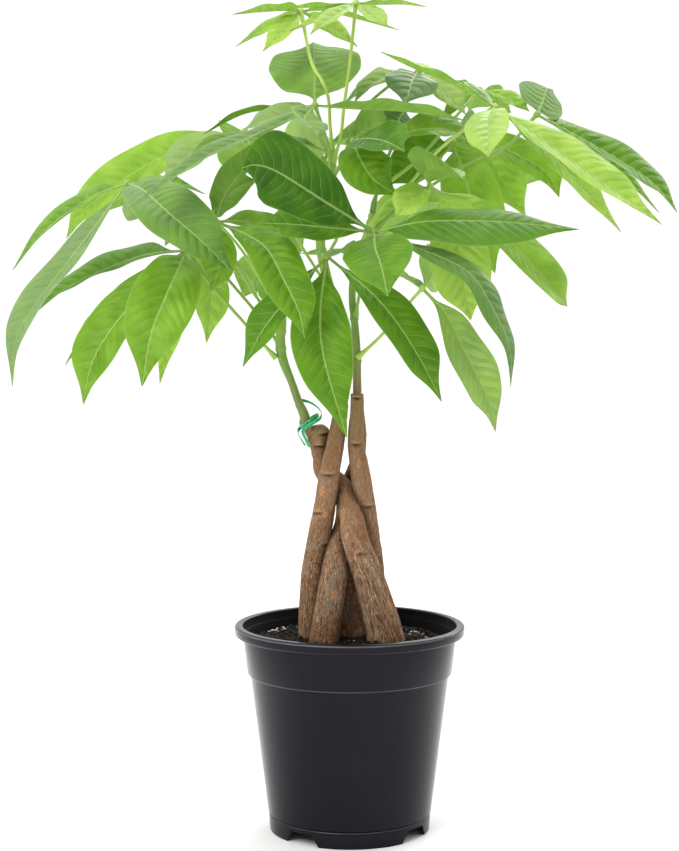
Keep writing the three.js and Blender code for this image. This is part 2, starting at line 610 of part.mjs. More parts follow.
// Leaves: the older, the darker
const OLD_GREEN = new THREE.Color(0x2f5a22);
const YOUNG_GREEN = new THREE.Color(0xa6c93a);
for (const [name, leaf] of Object.entries(LEAVES)) {
  let solid = leafSolid(leaf);
  for (const wrap of shootWraps) {
    solid = solid.subtract(wrap);
  }
  const color = OLD_GREEN.clone().lerp(YOUNG_GREEN, leaf.tone);
  add(name, solid, { color, roughness: 0.45, metalness: 0 });
}

// The twist tie
const tieShape = new THREE.Shape();
tieShape.absarc(0, 0, TIE_R, 0, 2 * Math.PI);
const tie = new THREE.ExtrudeGeometry(tieShape, {
  curveSegments: 3,
  steps: TIE_STEPS,
  extrudePath: curveOf(TIE),
});
add("tie", solidOf(tie), { color: 0x1f8f4e, roughness: 0.4, metalness: 0 });

export default plant;
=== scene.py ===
"""A young money tree in a nursery pot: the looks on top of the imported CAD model.

Lengths in this script are millimetres unless a name ends in _M; meshes are written in metres.
"""

import math
import random

import bmesh
import bpy
import numpy as np
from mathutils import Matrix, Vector, noise


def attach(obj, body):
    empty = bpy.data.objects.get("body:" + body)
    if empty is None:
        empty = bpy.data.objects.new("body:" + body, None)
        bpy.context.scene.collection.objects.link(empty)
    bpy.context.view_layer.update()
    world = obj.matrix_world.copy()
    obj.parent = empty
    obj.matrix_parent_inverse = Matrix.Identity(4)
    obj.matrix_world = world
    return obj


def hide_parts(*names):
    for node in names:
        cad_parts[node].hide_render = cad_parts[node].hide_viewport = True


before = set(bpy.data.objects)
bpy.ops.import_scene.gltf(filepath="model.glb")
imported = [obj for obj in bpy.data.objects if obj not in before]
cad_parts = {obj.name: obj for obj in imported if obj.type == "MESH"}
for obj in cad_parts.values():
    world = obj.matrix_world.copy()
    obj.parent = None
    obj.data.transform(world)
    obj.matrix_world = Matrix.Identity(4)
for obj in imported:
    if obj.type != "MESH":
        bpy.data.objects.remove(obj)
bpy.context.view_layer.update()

MM = 0.001
BODY = "root"

# Camera: it looks along +Y, tilted a little down
EYE = np.array([-6.8, -1200.0, 355.0])
TILT_DOWN = math.radians(4.0)
FOCAL_LENGTH_PX = 1809.0
IMAGE_HEIGHT_PX = 851
SENSOR_MM = 36.0
SIGHT_END_M = 20.0

# Studio: levels of the white light from the front, from behind and, added to them, from above
FRONT_LIGHT = 0.36
BACK_LIGHT = 1.08
OVERHEAD_LIGHT = 0.75
FLOOR_HALF_M = 30.0
# How far a direction points to the back, and up, where the light from there begins and is full
TO_BACK = (-0.35, 0.6)
TO_ABOVE = (0.15, 0.85)
# Two soft boxes, which both point at LIGHTS_AIM_M: name, place, side length, watts, colour
LIGHTS_AIM_M = (0.0, 0.0, 0.33)
SOFT_BOXES = [
    ("key", (-0.9, -1.3, 1.5), 1.1, 22.0, (1.0, 0.985, 0.96)),
    ("back", (0.7, 1.2, 1.3), 1.3, 14.0, (1.0, 1.0, 0.97)),
]

# Pot
RIM_R = 77.0
POT_H = 138.0
FOOT_R = 54.3
FOOT_H = 11.0
WALL = 1.4
COLLAR_R = 71.0
COLLAR_BOTTOM_R = 68.5
COLLAR_BOTTOM_Z = 105.8
BODY_TOP_R = 66.5
FLOOR_Z = 9.6
LIP_H = 7.0
SEAT_DEPTH = 6.0
RIM_ROUND = 1.8
SEAT_ROUND = 1.2
POT_SIDES = 160
CENTRE_R = 0.01
POT_SHARP = math.radians(40)
NOTCHES = 4
NOTCH_WIDTH = 26.0
NOTCH_TOP_WIDTH = 18.0
NOTCH_H = 8.0
NOTCH_ROUND = 0.8
NOTCH_OUTSIDE_R = 1.2 * FOOT_R
NOTCH_INSIDE_R = 0.6 * FOOT_R
NOTCH_ANGLE = math.radians(53.7)
DRAIN_HOLES = 6
DRAIN_HOLE_R = 4.0
DRAIN_CIRCLE_R = 36.0
DRAIN_SIDES = 24
# Painted highlight lines along edges, uneven along their length: height, half width, how pale
EDGE_HIGHLIGHTS = [
    (COLLAR_BOTTOM_Z + 0.1, 0.55, 0.75),
    (FOOT_H - 0.4, 0.5, 0.5),
    (POT_H - LIP_H + 1.0, 0.5, 0.2),
    (POT_H - 1.2, 0.7, 1.0),
]

# Soil. A bump is its coarseness per mm, its height and the layer of noise that it is cut from;
# a place of loose grains is x, y, spread and how many lie there
SOIL_Z = 127.0
SOIL_MOUND = 1.6
SOIL_TOP_R = 68.2
SOIL_RINGS = 56
SOIL_SPOKES = 180
SOIL_CENTRE_R = 0.2
SOIL_EDGE_DROP = 1.2
SOIL_BUMPS = [(0.06, 1.6, 3.1), (0.22, 1.3, 8.2), (0.7, 0.8, 1.4)]
GRAINS_WITHIN_R = 0.97 * SOIL_TOP_R
GRAIN_UNEVEN = 0.35
CRUMB_PLACES = [(0.0, 0.0, SOIL_TOP_R, 650)]
CRUMB_SIZES = (0.7, 2.3)
CRUMB_LIFT = 0.05
PERLITE_PLACES = [
    (-49.0, 34.0, 7.0, 20), (-38.0, 47.0, 6.0, 9), (47.0, 22.0, 6.0, 16), (0.0, 0.0, 60.0, 34)
]
PERLITE_SIZES = (0.4, 1.05)
PERLITE_LIFT = 0.2

# Leaf blades; a blade's mesh has rows along it and columns from the midrib to each margin
BLADE_FOLD = 14
BLADE_EDGE_GAP = 0.45
BLADE_BASE_W = 2.4
BLADE_TIP_W = 0.5
BLADE_ROWS = 30
BLADE_COLUMNS = np.array([0.0, 0.05, 0.2, 0.4, 0.6, 0.8, 0.93, 1.0])
BLADE_ARCH = 0.07
BLADE_CREASE = 0.002
RIB_DEPTH = 0.9
RIB_HALF_W = 0.8
WAVE_COUNTS = (2.0, 3.4)
WAVE_MOST = 1.0
WAVE_SHARE = 0.075
QUILT_H = 0.3
TONE_SPREAD = 0.03
MM_PER_UV = 100.0

# Veins of the blades
VEIN_SPACING = 8.0
VEIN_SLOPE = 0.75
VEIN_WIDTH = 0.4
VEIN_CURL = 0.016
VEIN_WANDER = 9.0
VEIN_CELL = 1.5
RIB_BASE_HALF_W = 0.95
RIB_TIP_HALF_W = 0.25

# Leaf stalks
STALK_R = 1.05
STALK_FOOT_R = 2.2
STALK_END_R = 1.6
STALK_FOOT_REACH = 7.0
STALK_END_REACH = 5.0
STALK_SIDES = 12
STALK_STEP = 2.0
KNOB_R = 2.4
# Youth of a stalk: the least, and how much of its first leaflet's tone is added
STALK_YOUTH = (0.6, 0.42)

# Woody stems and green shoots. A bump is how fine it is round and along the stem, the step
# between the stems' layers of noise, and its height; TRUNK_WAVER's is a share of the radius
TRUNK_SIDES = 72
TRUNK_STEP = 1.0
TRUNK_GRAIN_R = 9.0
TRUNK_WAVER = (0.13, 0.04, 1, 0.05)
TRUNK_BUMPS = [(0.55, 0.10, 7, 0.30), (1.5, 0.22, 3, 0.16)]
# Leaf scars: a groove, and a lifted ridge above it
SCAR_GROOVE_HALF_W = 0.9
SCAR_GROOVE_DEPTH = 1.0
SCAR_RIDGE_UP = 1.7
SCAR_RIDGE_HALF_W = 1.1
SCAR_RIDGE_H = 0.8
# Heights between which the bark grows smooth, and greenish, and how far above the soil painted shade
# darkens it
SMOOTH_FROM_TO = (170, 225)
GREENISH_FROM_TO = (245, 300)
SOIL_SHADE_H = 6
# Gaps to the next stem between which the painted shade of a crevice fades
CREVICE_TOUCH = -0.5
CREVICE_CLEAR = 5.5
CREVICE_SHADE = 0.72
SHOOT_SIDES = 28
SHOOT_STEP = 0.9
SHOOT_GRAIN_R = 3.2
SHOOT_BUMP = (0.5, 0.12, 1, 0.12)
# Heights over a shoot's foot between which bark turns to green, and old green to young
SHOOT_BARK_FROM_TO = (9, 17)
SHOOT_YOUNG_FROM_TO = (12, 90)
BUD_SHARES = np.array([[0.75], [0.35]])
LEAF_RING_H = 0.55
LEAF_RING_HALF_W = 1.3
LEAF_RING_DOWN = 2.0
LEAF_FOOT_NEAR = 4.0
GRAIN_APART = 300
CURVE_STEPS = 200
LEAST_RINGS = 7
# Where the rings of a stem start: away from the camera, and along no stem
RING_START = np.array([0.05, 1.0, 0.02])

# Twist tie: a thin wire in a flat plastic coat
TIE_WIDTH = 2.4
TIE_THICKNESS = 0.7
TIE_RINGS = 240
TIE_SIDES = 16

# Stems and leaves are laid out as they look from the front. A point is (across, up, depth):
# where its sight line from EYE meets the upright plane through the pot's axis, and how far
# behind that plane it lies.

# Woody stems from the soil up: (across, up, depth, radius)
TRUNKS = {
    "trunk_1": [(-26, 95, 7, 9.5), (-25.7, 121, 6, 9), (-24.2, 167, 3, 8.7), (-20.6, 193, 0, 8.1),
        (-16.3, 219, -8, 7.1), (-13.2, 240, -9, 6.5), (-9.3, 261, -6, 5.8), (-6.3, 279, -3, 4.8),
        (-5.7, 288, -2, 4.4)],
    "trunk_2": [(-19, 95, -13, 10), (-17.5, 124, -12, 9.8), (-14.5, 145, -12, 9.5),
        (-9.7, 174, -10, 8.9), (-7, 190, -4, 7.8), (-3, 206, 6, 7), (-1.6, 227, 14, 6.2),
        (5, 247, 11, 4.6), (7, 264, 7, 4), (6, 280, 4, 3.6), (5, 291, 2, 3.4)],
    "trunk_3": [(2, 95, 9, 10.5), (2, 124, 9, 10), (-1, 154, 11, 8.5), (-2, 182, 16, 7),
        (-1, 207, 22, 6), (0, 227, 28, 5), (2, 238, 29, 4.4)],
    "trunk_4": [(27, 95, -8, 13), (24.3, 127, -10, 12.5), (13.6, 167, -14, 9.9),
        (4, 194, -14, 8.9), (0.8, 212, -9, 8), (-5.5, 229, 3, 7.6), (-16.5, 240, 6, 6.8),
        (-19, 250, 4, 5.5), (-19.9, 257, 3, 6.2), (-20.2, 263, 2, 7), (-20.6, 268, 1.5, 6),
        (-20.9, 271, 1, 3.2)],
    "trunk_5": [(20, 95, 17, 9.5), (19, 127, 16, 9), (17.5, 154, 13, 8), (16, 173, 8, 7.4),
        (13.8, 190, 2, 7.2), (11.4, 209, -3, 7.1), (7.2, 239, -5, 6.5), (4, 259, -6, 5.3),
        (4.8, 279, -8, 4.6), (5, 292, -9, 4.2)],
}
# Green shoots that grow on from the woody stems: (across, up, depth, radius)
SHOOTS = {
    "shoot_1": [(-5.8, 288.5, -2, 3.9), (-7.7, 320, 0, 3.5), (-11.7, 354, 1, 3.3),
        (-19, 387, 1, 3.2), (-18, 408, 0, 3.1), (-13, 437, 0, 3), (-10.5, 452, 0, 2.8)],
    "shoot_2": [(-23.5, 261, 1.5, 3.2), (-28.2, 270.5, 0, 3.6), (-30.5, 278.7, 0, 3.3),
        (-34.2, 287.3, -1, 2.7), (-39, 301, -2, 2.6), (-44, 314, -3, 3.1), (-46, 326, -2, 3.4),
        (-45, 337, 0, 3), (-43.5, 345, 1, 1.8)],
    "shoot_3": [(5, 292, 2, 3), (4.6, 321, 0, 2.6), (3, 341, 0, 2.5), (1.7, 354, 0, 2.4),
        (2, 366, 0, 2.4), (5, 381, 0, 2.4), (11, 397, 0, 2.4), (15.5, 412, 0, 2.3)],
}
# The twist tie goes twice round the foot of shoot_2: (across, up, depth)
TIE = [(-26.8, 256.8, -5.5), (-29.2, 261.8, -6), (-31.2, 266.5, -6), (-29.5, 269.6, -6.2),
    (-26, 271.8, -6.4), (-22.5, 274, -6), (-19.6, 276, -3.5), (-18.8, 278.8, 0.5),
    (-20.5, 282.2, 3.5), (-24.3, 285.3, 4.6), (-29, 287.3, 4.4), (-33.6, 287.6, 3.9),
    (-35.2, 284.8, 3.6), (-33.3, 281, 4.2), (-31.8, 277.3, 4.8), (-32.6, 273.6, 4.2),
    (-33.1, 271, 0.5), (-31, 271.2, -4.1), (-27.6, 273.4, -5.2), (-24, 275.8, -4.6),
    (-21, 277.8, -1.5), (-21.5, 278.3, 3), (-25, 276.3, 6), (-29.5, 272.5, 7),
    (-33.8, 268.5, 4.5), (-34.2, 265.5, 0), (-32.4, 262, -3.2), (-29.6, 257.8, -4.2)]

# Compound leaves: the stalk's points, from the shoot to where the leaflets meet, and the
# leaflets, each one as its points after that, width, turn and tone. Turn 0 shows the upper face
# to the front, 90 turns that face up and 180 away. Tone goes from old dark green, 0, to young
# yellow green, 1; the tones were set to how bright each leaflet looks, so they also hold painted
# light and shade. A last value is the leaflet's own fold in degrees.
LEAVES = {
    "leaf_01": (
        [(-18, 410, 0), (-8, 399, -35), (-15, 383, -62)],
        [
            ([(-19.5, 347, -78), (-17, 315, -85), (-2, 263, -82)], 38, 5, 0.38),
            ([(19, 354, -84), (43, 321, -94), (61, 287, -92)], 32, 40, 0.4),
            ([(-40, 356, -62), (-57, 335, -60), (-71, 310, -54)], 30, 48, 0.3),
            ([(-21, 385, -42), (-26, 385, -22), (-31, 385, -6)], 15, 66, 0.55),
            ([(-7, 386, -40), (-5, 388, -20), (-4, 385, -4)], 20, 100, 0.35),
        ],
    ),
    "leaf_02": (
        [(4, 344, -2), (8, 367, -35), (16, 399, -72)],
        [
            ([(-15, 418, -98), (-47, 438, -122), (-62, 443, -134), (-71, 441, -141)], 45, 14, 0.12),
            ([(-16, 402, -84), (-38, 404, -90), (-60, 405, -94)], 28, 40, 0.35),
            ([(50, 406, -87), (99, 406, -89), (151, 401, -80)], 40, 55, 0.32, -12),
            ([(44, 389, -90), (78, 373, -100), (94, 350, -100), (106, 324, -92),
                (107, 297, -84)], 30, 60, 0.35, 0),
            ([(17, 388, -108), (21, 376, -141), (25, 357, -168)], 42, 0, 0.42),
        ],
    ),
    "leaf_03": (
        [(-44, 341, -4), (-60, 354, -15), (-72, 374, -28), (-89, 406, -40)],
        [
            ([(-70, 398, -62), (-55, 388, -84), (-44, 368, -98), (-34, 347, -104),
                (-30, 329, -104)], 31, 28, 0.45),
            ([(-69, 406, -40), (-51, 402, -36), (-38, 392, -32)], 24, 60, 0.65),
            ([(-83, 423, -50), (-72, 438, -66), (-59, 452, -76), (-41, 463, -80)], 34, 113, 0.38),
            ([(-86, 391, -42), (-86, 376, -44), (-92, 360, -44)], 24, 20, 0.62),
            ([(-76, 378, -16), (-67, 364, -4), (-59, 351, 2)], 20, 94, 0.8),
        ],
    ),
    "leaf_04": (
        [(-46, 324, 0), (-62, 346, 14), (-78, 365, 22), (-105, 397, 24), (-147, 431, 10)],
        [
            ([(-137, 427, -25), (-119, 411, -60), (-98, 393, -74), (-77, 372, -72)], 40, 28, 0.44),
            ([(-164, 408, 4), (-184, 382, 0), (-206, 354, -8), (-221, 328, -14),
                (-224, 297, -12)], 33, 60, 0.5),
            ([(-166, 424, 22), (-184, 413, 32), (-206, 395, 38), (-223, 374, 40)], 28, 74, 0.52),
            ([(-144, 423, -6), (-140, 416, -22), (-137, 408, -40)], 24, 160, 0.5),
            ([(-128, 431, 20), (-112, 430, 28), (-95, 424, 38)], 22, 76, 0.5),
        ],
    ),
    "leaf_05": (
        [(-13, 434, 0), (-13, 450, -13), (-17, 465, -18), (-23, 482, -24)],
        [
            ([(-23, 497, -8), (-23.5, 513, 14), (-24, 522.5, 46), (-24, 519, 84)], 62, 177, 0.38),
            ([(-51, 467, -38), (-95, 448, -64), (-146, 415, -92)], 24, 72, 0.36),
            ([(-44, 480, 3), (-69, 477, 16), (-97, 463, 22)], 20, 96, 0.5),
            ([(-39, 477, -15), (-55, 472, -16), (-70, 466, -14)], 24, 62, 0.7),
            ([(-30, 474, -40), (-26, 468, -56), (-20, 461, -66)], 26, 35, 0.6),
            ([(7, 480, -28), (40, 478, -26), (76, 472, -12)], 28, 102, 0.65),
        ],
    ),
    "leaf_06": (
        [(13, 402, -3), (22, 417, -7), (37, 428, -10), (60, 454, -12), (95, 481, -20)],
        [
            ([(128, 459, -38), (167, 432, -52), (206, 404, -58)], 34, 58, 0.88),
            ([(125, 458, -20), (147, 436, -24), (179, 399, -18)], 30, 52, 1),
            ([(91, 474, -55), (91, 461, -80), (91, 448, -96)], 28, 20, 0.97),
            ([(66, 497, -40), (43, 506, -48), (20, 517, -52)], 30, 90, 0.85),
            ([(87, 487, -6), (78, 494, 2), (68, 499, 10)], 16, 78, 0.45),
        ],
    ),
    "leaf_07": (
        [(14, 407, 0), (18, 424, 16), (45, 447, 36), (70, 475, 56), (85, 492, 66)],
        [
            ([(92, 487, 76), (99, 483, 86), (106, 477, 94)], 22, 42, 0.72),
            ([(99, 488, 62), (109, 483, 56), (118, 478, 52)], 18, 60, 0.7),
            ([(79, 487, 78), (71, 480, 88), (63, 474, 96)], 30, 100, 0.6),
            ([(84, 490, 96), (81, 486, 126), (78, 479, 150)], 32, 180, 0.65),
        ],
    ),
    "leaf_08": (
        [(10, 394, 1), (24, 408, 6), (53, 429, 10), (80, 445, 14), (103, 455, 14), (123, 476, 10)],
        [
            ([(126, 483, 26), (129, 492, 50), (133, 492, 78)], 36, 177, 0.25),
            ([(151, 461, 20), (179, 445, 32), (201, 430, 38), (216, 412, 38)], 32, 64, 0.42),
            ([(145, 463, 40), (173, 443, 58), (204, 412, 66)], 24, 64, 0.6),
        ],
    ),
    "leaf_09": (
        [(8, 386, -4), (30, 402, -20), (47, 417, -36), (53, 429, -45)],
        [
            ([(76, 415, -48), (110, 388, -44), (136, 360, -40), (144, 350, -36)], 36, 55, 0.8),
            ([(69, 410, -60), (72, 384, -62), (76, 361, -60), (80, 341, -56)], 38, 5, 1),
            ([(50, 438, -60), (60, 442, -85), (75, 434, -112)], 34, 130, 0.6),
            ([(45, 425, -52), (37, 417, -56), (30, 409, -57)], 22, 30, 0.95),
        ],
    ),
    "leaf_10": (
        [(15, 412, 0), (19, 430, 3), (24, 445, 6), (30, 461, 12)],
        [
            ([(32, 472, 30), (36, 478, 52), (38, 474, 78)], 32, 180, 0),
            ([(19, 465, 22), (8, 463, 28), (-3, 457, 28)], 26, 60, 0.7),
            ([(46, 466, 18), (64, 466, 24), (82, 458, 26)], 30, 60, 0.58),
        ],
    ),
    "leaf_11": (
        [(-14, 428, 0), (-5, 446, -16), (2, 459, -22)],
        [
            ([(12, 460, -45), (24, 458, -72), (36, 452, -95)], 34, 50, 0.22),
            ([(9, 466, -10), (18, 470, 2), (27, 469, 14)], 26, 150, 0.55),
            ([(6, 448, -36), (15, 434, -46), (31, 423, -48)], 34, 25, 0.52),
        ],
    ),
    "leaf_12": (
        [(5, 316, -2), (21, 331, -8), (39, 352, -18), (48, 362, -25)],
        [
            ([(64, 344, -30), (74, 324, -32), (84, 305, -30), (92, 287, -26),
                (97, 267, -22)], 30, 30, 0.85),
            ([(39, 368, -4), (26, 373, 20), (12, 369, 44)], 30, 110, 0.6),
            ([(54, 371, -4), (61, 380, 22), (66, 378, 50)], 30, 160, 0.85),
        ],
    ),
    "leaf_13": (
        [(-49, 316, -4), (-68, 337, -10), (-94, 367, -16), (-108, 387, -15)],
        [
            ([(-113, 376, -34), (-122, 356, -50), (-132, 331, -58), (-138, 297, -54)], 42, 5, 0.64),
            ([(-134, 362, -12), (-157, 336, -20), (-171, 312, -22),
                (-177, 285, -18)], 38, 40, 0.54),
            ([(-115, 367, 14), (-119, 340, 26), (-126, 299, 26)], 26, 20, 1),
            ([(-97, 374, -8), (-92, 354, -6), (-95, 326, 2)], 25, 10, 0.9),
            ([(-132, 371, 14), (-155, 352, 22), (-173, 333, 26), (-189, 311, 26)], 22, 62, 0.6),
            ([(-135, 384, 22), (-161, 375, 38), (-188, 362, 44), (-212, 343, 42)], 32, 68, 0.36),
        ],
    ),
    "leaf_14": (
        [(-11, 350, 2), (-28, 362, 40), (-39, 374, 75), (-44, 379, 91)],
        [
            ([(-46, 370, 107), (-47, 358, 116), (-49, 346, 114)], 34, 180, 0.6),
            ([(-54, 375, 107), (-63, 368, 121), (-71, 356, 128)], 36, 150, 0.6),
            ([(-42, 390, 96), (-40, 401, 102), (-41, 411, 105)], 32, 150, 0.6),
            ([(-48, 382, 119), (-53, 379, 145), (-59, 370, 165)], 34, 180, 0.5),
        ],
    ),
    "leaf_15": (
        [(-13, 360, 1), (-25, 379, 10), (-36, 397, 20), (-56, 436, 38), (-69, 465, 48)],
        [
            ([(-93, 456, 64), (-123, 448, 80), (-151, 432, 84), (-174, 414, 80),
                (-187, 395, 72)], 37, 42, 0.77),
            ([(-96, 455, 52), (-110, 446, 48), (-123, 433, 50)], 30, 42, 0.85),
            ([(-71, 464, 80), (-73, 463, 110), (-75, 452, 140)], 34, 170, 0.7),
            ([(-70, 454, 70), (-74, 446, 90), (-79, 435, 104)], 30, 155, 0.72),
        ],
    ),
    "leaf_16": (
        [(-16, 422, 1), (-20, 436, 8), (-14, 452, 12)],
        [
            ([(-33, 457, 14), (-60, 459, 22), (-87, 459, 16), (-109, 446, 4)], 24, 78, 0.47),
            ([(-22, 461, 36), (-35, 459, 60), (-48, 447, 80)], 32, 170, 0.9),
        ],
    ),
    "leaf_17": (
        [(-14, 430, 3), (-7, 441, 22), (-1, 457, 40), (8, 478, 52), (28, 496, 54), (45, 504, 45)],
        [
            ([(28, 501, 38), (14, 495, 38), (3, 484, 36)], 30, 72, 0.95),
            ([(24, 498, 60), (9, 492, 70), (-5, 482, 74)], 24, 78, 0.5),
            ([(41, 498, 22), (39, 491, 10), (36, 483, 0)], 36, 12, 0.15),
            ([(55, 496, 34), (66, 487, 28), (76, 476, 26)], 24, 48, 1),
            ([(44, 500, 74), (43, 494, 102), (42, 487, 128)], 32, 180, 0.6),
        ],
    ),
    "leaf_18": (
        [(-11, 450, 2), (-13, 469, -6), (-13.5, 481, -13), (-15, 490, -19), (-18.5, 498, -21),
            (-25.5, 511, -12), (-32, 543, 15)],
        [
            ([(-41, 544, 8), (-58, 543, -4), (-77, 541, -16)], 20, 102, 1),
            ([(-42, 538, 26), (-58, 530, 38), (-75, 520, 48)], 13, 60, 0.68),
            ([(-39, 536, 2), (-46, 528, -8), (-57, 517, -16)], 17, 38, 1),
            ([(-21, 537, 22), (-9, 531, 32), (5, 520, 42)], 14, 38, 1),
            ([(-18, 544, 12), (7, 538, 10), (32, 531, 8)], 14, 98, 0.95),
        ],
    ),
    "leaf_19": (
        [(-11, 444, -1), (-6, 462, -6), (-4, 480, -11), (0, 510, -17), (4, 548.2, -14)],
        [
            ([(18, 548, -20), (35, 548, -28), (50, 546, -36)], 13, 96, 1),
            ([(11, 544, -26), (18, 538, -40), (25, 533, -50)], 14, 42, 0.95),
            ([(-4, 544, -28), (-15, 537, -42), (-26, 528, -54)], 13, 50, 1),
            ([(-6, 545, -14), (-22, 537, -18), (-40, 530, -24)], 13, 72, 0.9),
            ([(-8, 546, -10), (-25, 546, -12), (-43, 545, -14)], 12, 100, 1),
        ],
    ),
    "leaf_20": (
        [(8, 388, 1), (28, 412, 28), (50, 438, 46), (68, 457, 55)],
        [
            ([(55, 452, 62), (40, 443, 70), (20, 429, 74)], 34, 25, 0.42),
            ([(90, 447, 64), (102, 430, 68), (116, 409, 64)], 34, 30, 0.88),
            ([(73, 444, 44), (80, 421, 34), (88, 397, 30), (96, 372, 30)], 40, 5, 0.7),
            ([(70, 463, 85), (74, 462, 115), (78, 448, 145)], 36, 180, 0.5),
            ([(91, 457, 46), (113, 448, 40), (130, 437, 34), (138, 422, 30)], 30, 48, 0.7),
        ],
    ),
    "leaf_21": (
        [(-45, 336, 3), (-50, 352, 36), (-72, 388, 76), (-92, 410, 97)],
        [
            ([(-114, 422, 108), (-138, 426, 122), (-160, 413, 128)], 36, 120, 0.55),
            ([(-102, 418, 126), (-112, 412, 151), (-122, 390, 169)], 36, 160, 0.5),
            ([(-94, 394, 112), (-96, 366, 122), (-97, 340, 122)], 36, 180, 0.5),
            ([(-86, 418, 106), (-75, 428, 115), (-61, 433, 118)], 32, 140, 0.36),
        ],
    ),
    "leaf_22": (
        [(4.5, 378, 1), (25, 400, 42), (50, 414, 80), (68, 420, 102)],
        [
            ([(90, 431, 118), (110, 437, 131), (130, 434, 139)], 34, 140, 0.55),
            ([(74, 427, 130), (78, 425, 155), (82, 406, 172)], 36, 180, 0.5),
            ([(70, 405, 116), (72, 378, 122), (74, 352, 119)], 36, 180, 0.5),
            ([(48, 418, 118), (27, 408, 126), (10, 390, 126)], 34, 150, 0.68),
        ],
    ),
    "leaf_23": (
        [(-16, 414, 3), (-11, 431, 36), (-13, 446, 68), (-18, 455, 86)],
        [
            ([(-38, 450, 110), (-48, 442, 133), (-54, 424, 151)], 34, 130, 0.5),
            ([(2, 462, 101), (24, 462, 113), (46, 452, 121)], 34, 130, 0.55),
            ([(-22, 464, 117), (-24, 462, 144), (-26, 446, 166)], 36, 180, 0.5),
            ([(-22, 438, 101), (-25, 421, 108), (-26, 406, 110)], 32, 180, 0.5),
        ],
    ),
}
# Leaflets with a painted grey sheen, a reflection of the bright surroundings: which of the leaf's
# leaflets, and how strong
PAINTED_SHEEN = {
    "leaf_02": {2: 0.06, 3: 0.2},
    "leaf_04": {0: 0.2, 1: 0.55, 3: 0.5},
    "leaf_05": {1: 0.3, 3: 0.6, 4: 0.35},
    "leaf_06": {2: 0.15},
    "leaf_12": {0: 0.4},
    "leaf_15": {1: 0.5},
    "leaf_16": {1: 0.4},
    "leaf_17": {0: 0.5, 2: 0.35, 3: 0.35},
    "leaf_19": {1: 0.2, 2: 0.2},
}

# Leaf scars and cracks of the bark: across, up, half width, how far the ends turn up
SCARS = {
    "trunk_1": [(-14.0, 237.5, 5.5, 1.2), (-21.5, 212.0, 4.5, 0.8), (-15.5, 190.5, 3.0, -0.6)],
    "trunk_4": [(8.0, 185.0, 5.0, -0.8), (-20.0, 257.0, 4.5, 0.5), (-17.5, 265.0, 3.5, -0.5)],
    "trunk_5": [(12.0, 216.5, 5.5, 0.2), (4.6, 289.0, 3.6, 0.6), (4.0, 258.0, 4.2, 0.8)],
}
# Orange and tan patches where the bark has flaked: across, up, half width, half height
FLAKES = {
    "trunk_1": [(-19.0, 212.5, 5.0, 3.4), (-18.5, 227.0, 1.8, 4.5), (-15.0, 195.5, 2.2, 4.0)],
    "trunk_2": [(-9.6, 157.0, 3.6, 5.0)],
    "trunk_4": [(-5.0, 210.0, 2.0, 8.0), (-2.0, 197.0, 1.8, 3.4), (5.5, 186.5, 3.4, 2.0)],
    "trunk_5": [(6.0, 246.0, 1.6, 5.0)],
}
# Swellings of the woody stems: across, up, reach, growth of the radius
SWELLINGS = {"trunk_4": [(-20.5, 264.0, 8.0, 1.7)]}


# Small tools
def unit(vectors):
    return vectors / np.linalg.norm(vectors, axis=-1, keepdims=True)


def seen(points):
    """The places of (across, up, depth) points."""
    points = np.asarray(points, float)
    on_plane = np.stack([points[:, 0], np.zeros(len(points)), points[:, 1]], axis=1)
    return EYE + (on_plane - EYE) * (1 - points[:, 2:3] / EYE[1])


def looks_at(places):
    """The inverse of seen: across and up of each place, seen from EYE."""
    share = EYE[1] / (EYE[1] - places[..., 1])
    across = EYE[0] + (places[..., 0] - EYE[0]) * share
    up = EYE[2] + (places[..., 2] - EYE[2]) * share
    return across, up


def spline(points, shares):
    """Places and unit tangents on the Catmull-Rom curve through points."""
    points = np.asarray(points, float)
    padded = np.vstack([2 * points[0] - points[1], points, 2 * points[-1] - points[-2]])
    along = np.clip(shares, 0, 1) * (len(points) - 1)
    k = np.minimum(along.astype(int), len(points) - 2)
    t = (along - k)[:, None]
    a, b, c, d = (padded[k + i] for i in range(4))
    square = 2 * a - 5 * b + 4 * c - d
    cube = 3 * b - a - 3 * c + d
    place = 0.5 * (2 * b + (c - a) * t + square * t**2 + cube * t**3)
    slope = 0.5 * ((c - a) + 2 * square * t + 3 * cube * t**2)
    return place, unit(slope)


def middle_line(points):
    """Close places on the curve through the (across, up, depth, ...) points of a stem."""
    return spline(seen([point[:3] for point in points]), np.linspace(0, 1, CURVE_STEPS))[0]


def carried_frames(tangents, first):
    """A normal and a binormal for each tangent, turning as little as can be."""
    normal = first - tangents[0] * (first @ tangents[0])
    normals = []
    for tangent in tangents:
        normal = unit(normal - tangent * (normal @ tangent))
        normals.append(normal)
    normals = np.array(normals)
    return normals, np.cross(tangents, normals)


def smooth_step(values, low, high):
    t = np.clip((values - low) / (high - low), 0, 1)
    return t * t * (3 - 2 * t)


def bell(values, half):
    """1 where a value is 0, falling off smoothly to both sides."""
    return np.exp(-((values / half) ** 2))


def circle(radius, count):
    """Places (x, y) evenly round a circle."""
    turns = [math.tau * k / count for k in range(count)]
    return [(radius * math.cos(turn), radius * math.sin(turn)) for turn in turns]


def grid_faces(rows, columns, closed=False):
    """Quads of a grid of rows x columns points; closed joins its last column to the first."""
    row = np.arange(rows - 1)[:, None]
    column = np.arange(columns if closed else columns - 1)[None, :]
    after = (column + 1) % columns
    corners = [row * columns + column, row * columns + after]
    corners += [(row + 1) * columns + after, (row + 1) * columns + column]
    return np.stack([corner.ravel() for corner in corners], axis=1)


def closed_tube(rings, sides):
    """Faces of a tube of rings, with a cap on either end."""
    faces = [tuple(face) for face in grid_faces(rings, sides, closed=True)]
    last = (rings - 1) * sides
    return faces + [tuple(range(sides - 1, -1, -1)), tuple(range(last, last + sides))]


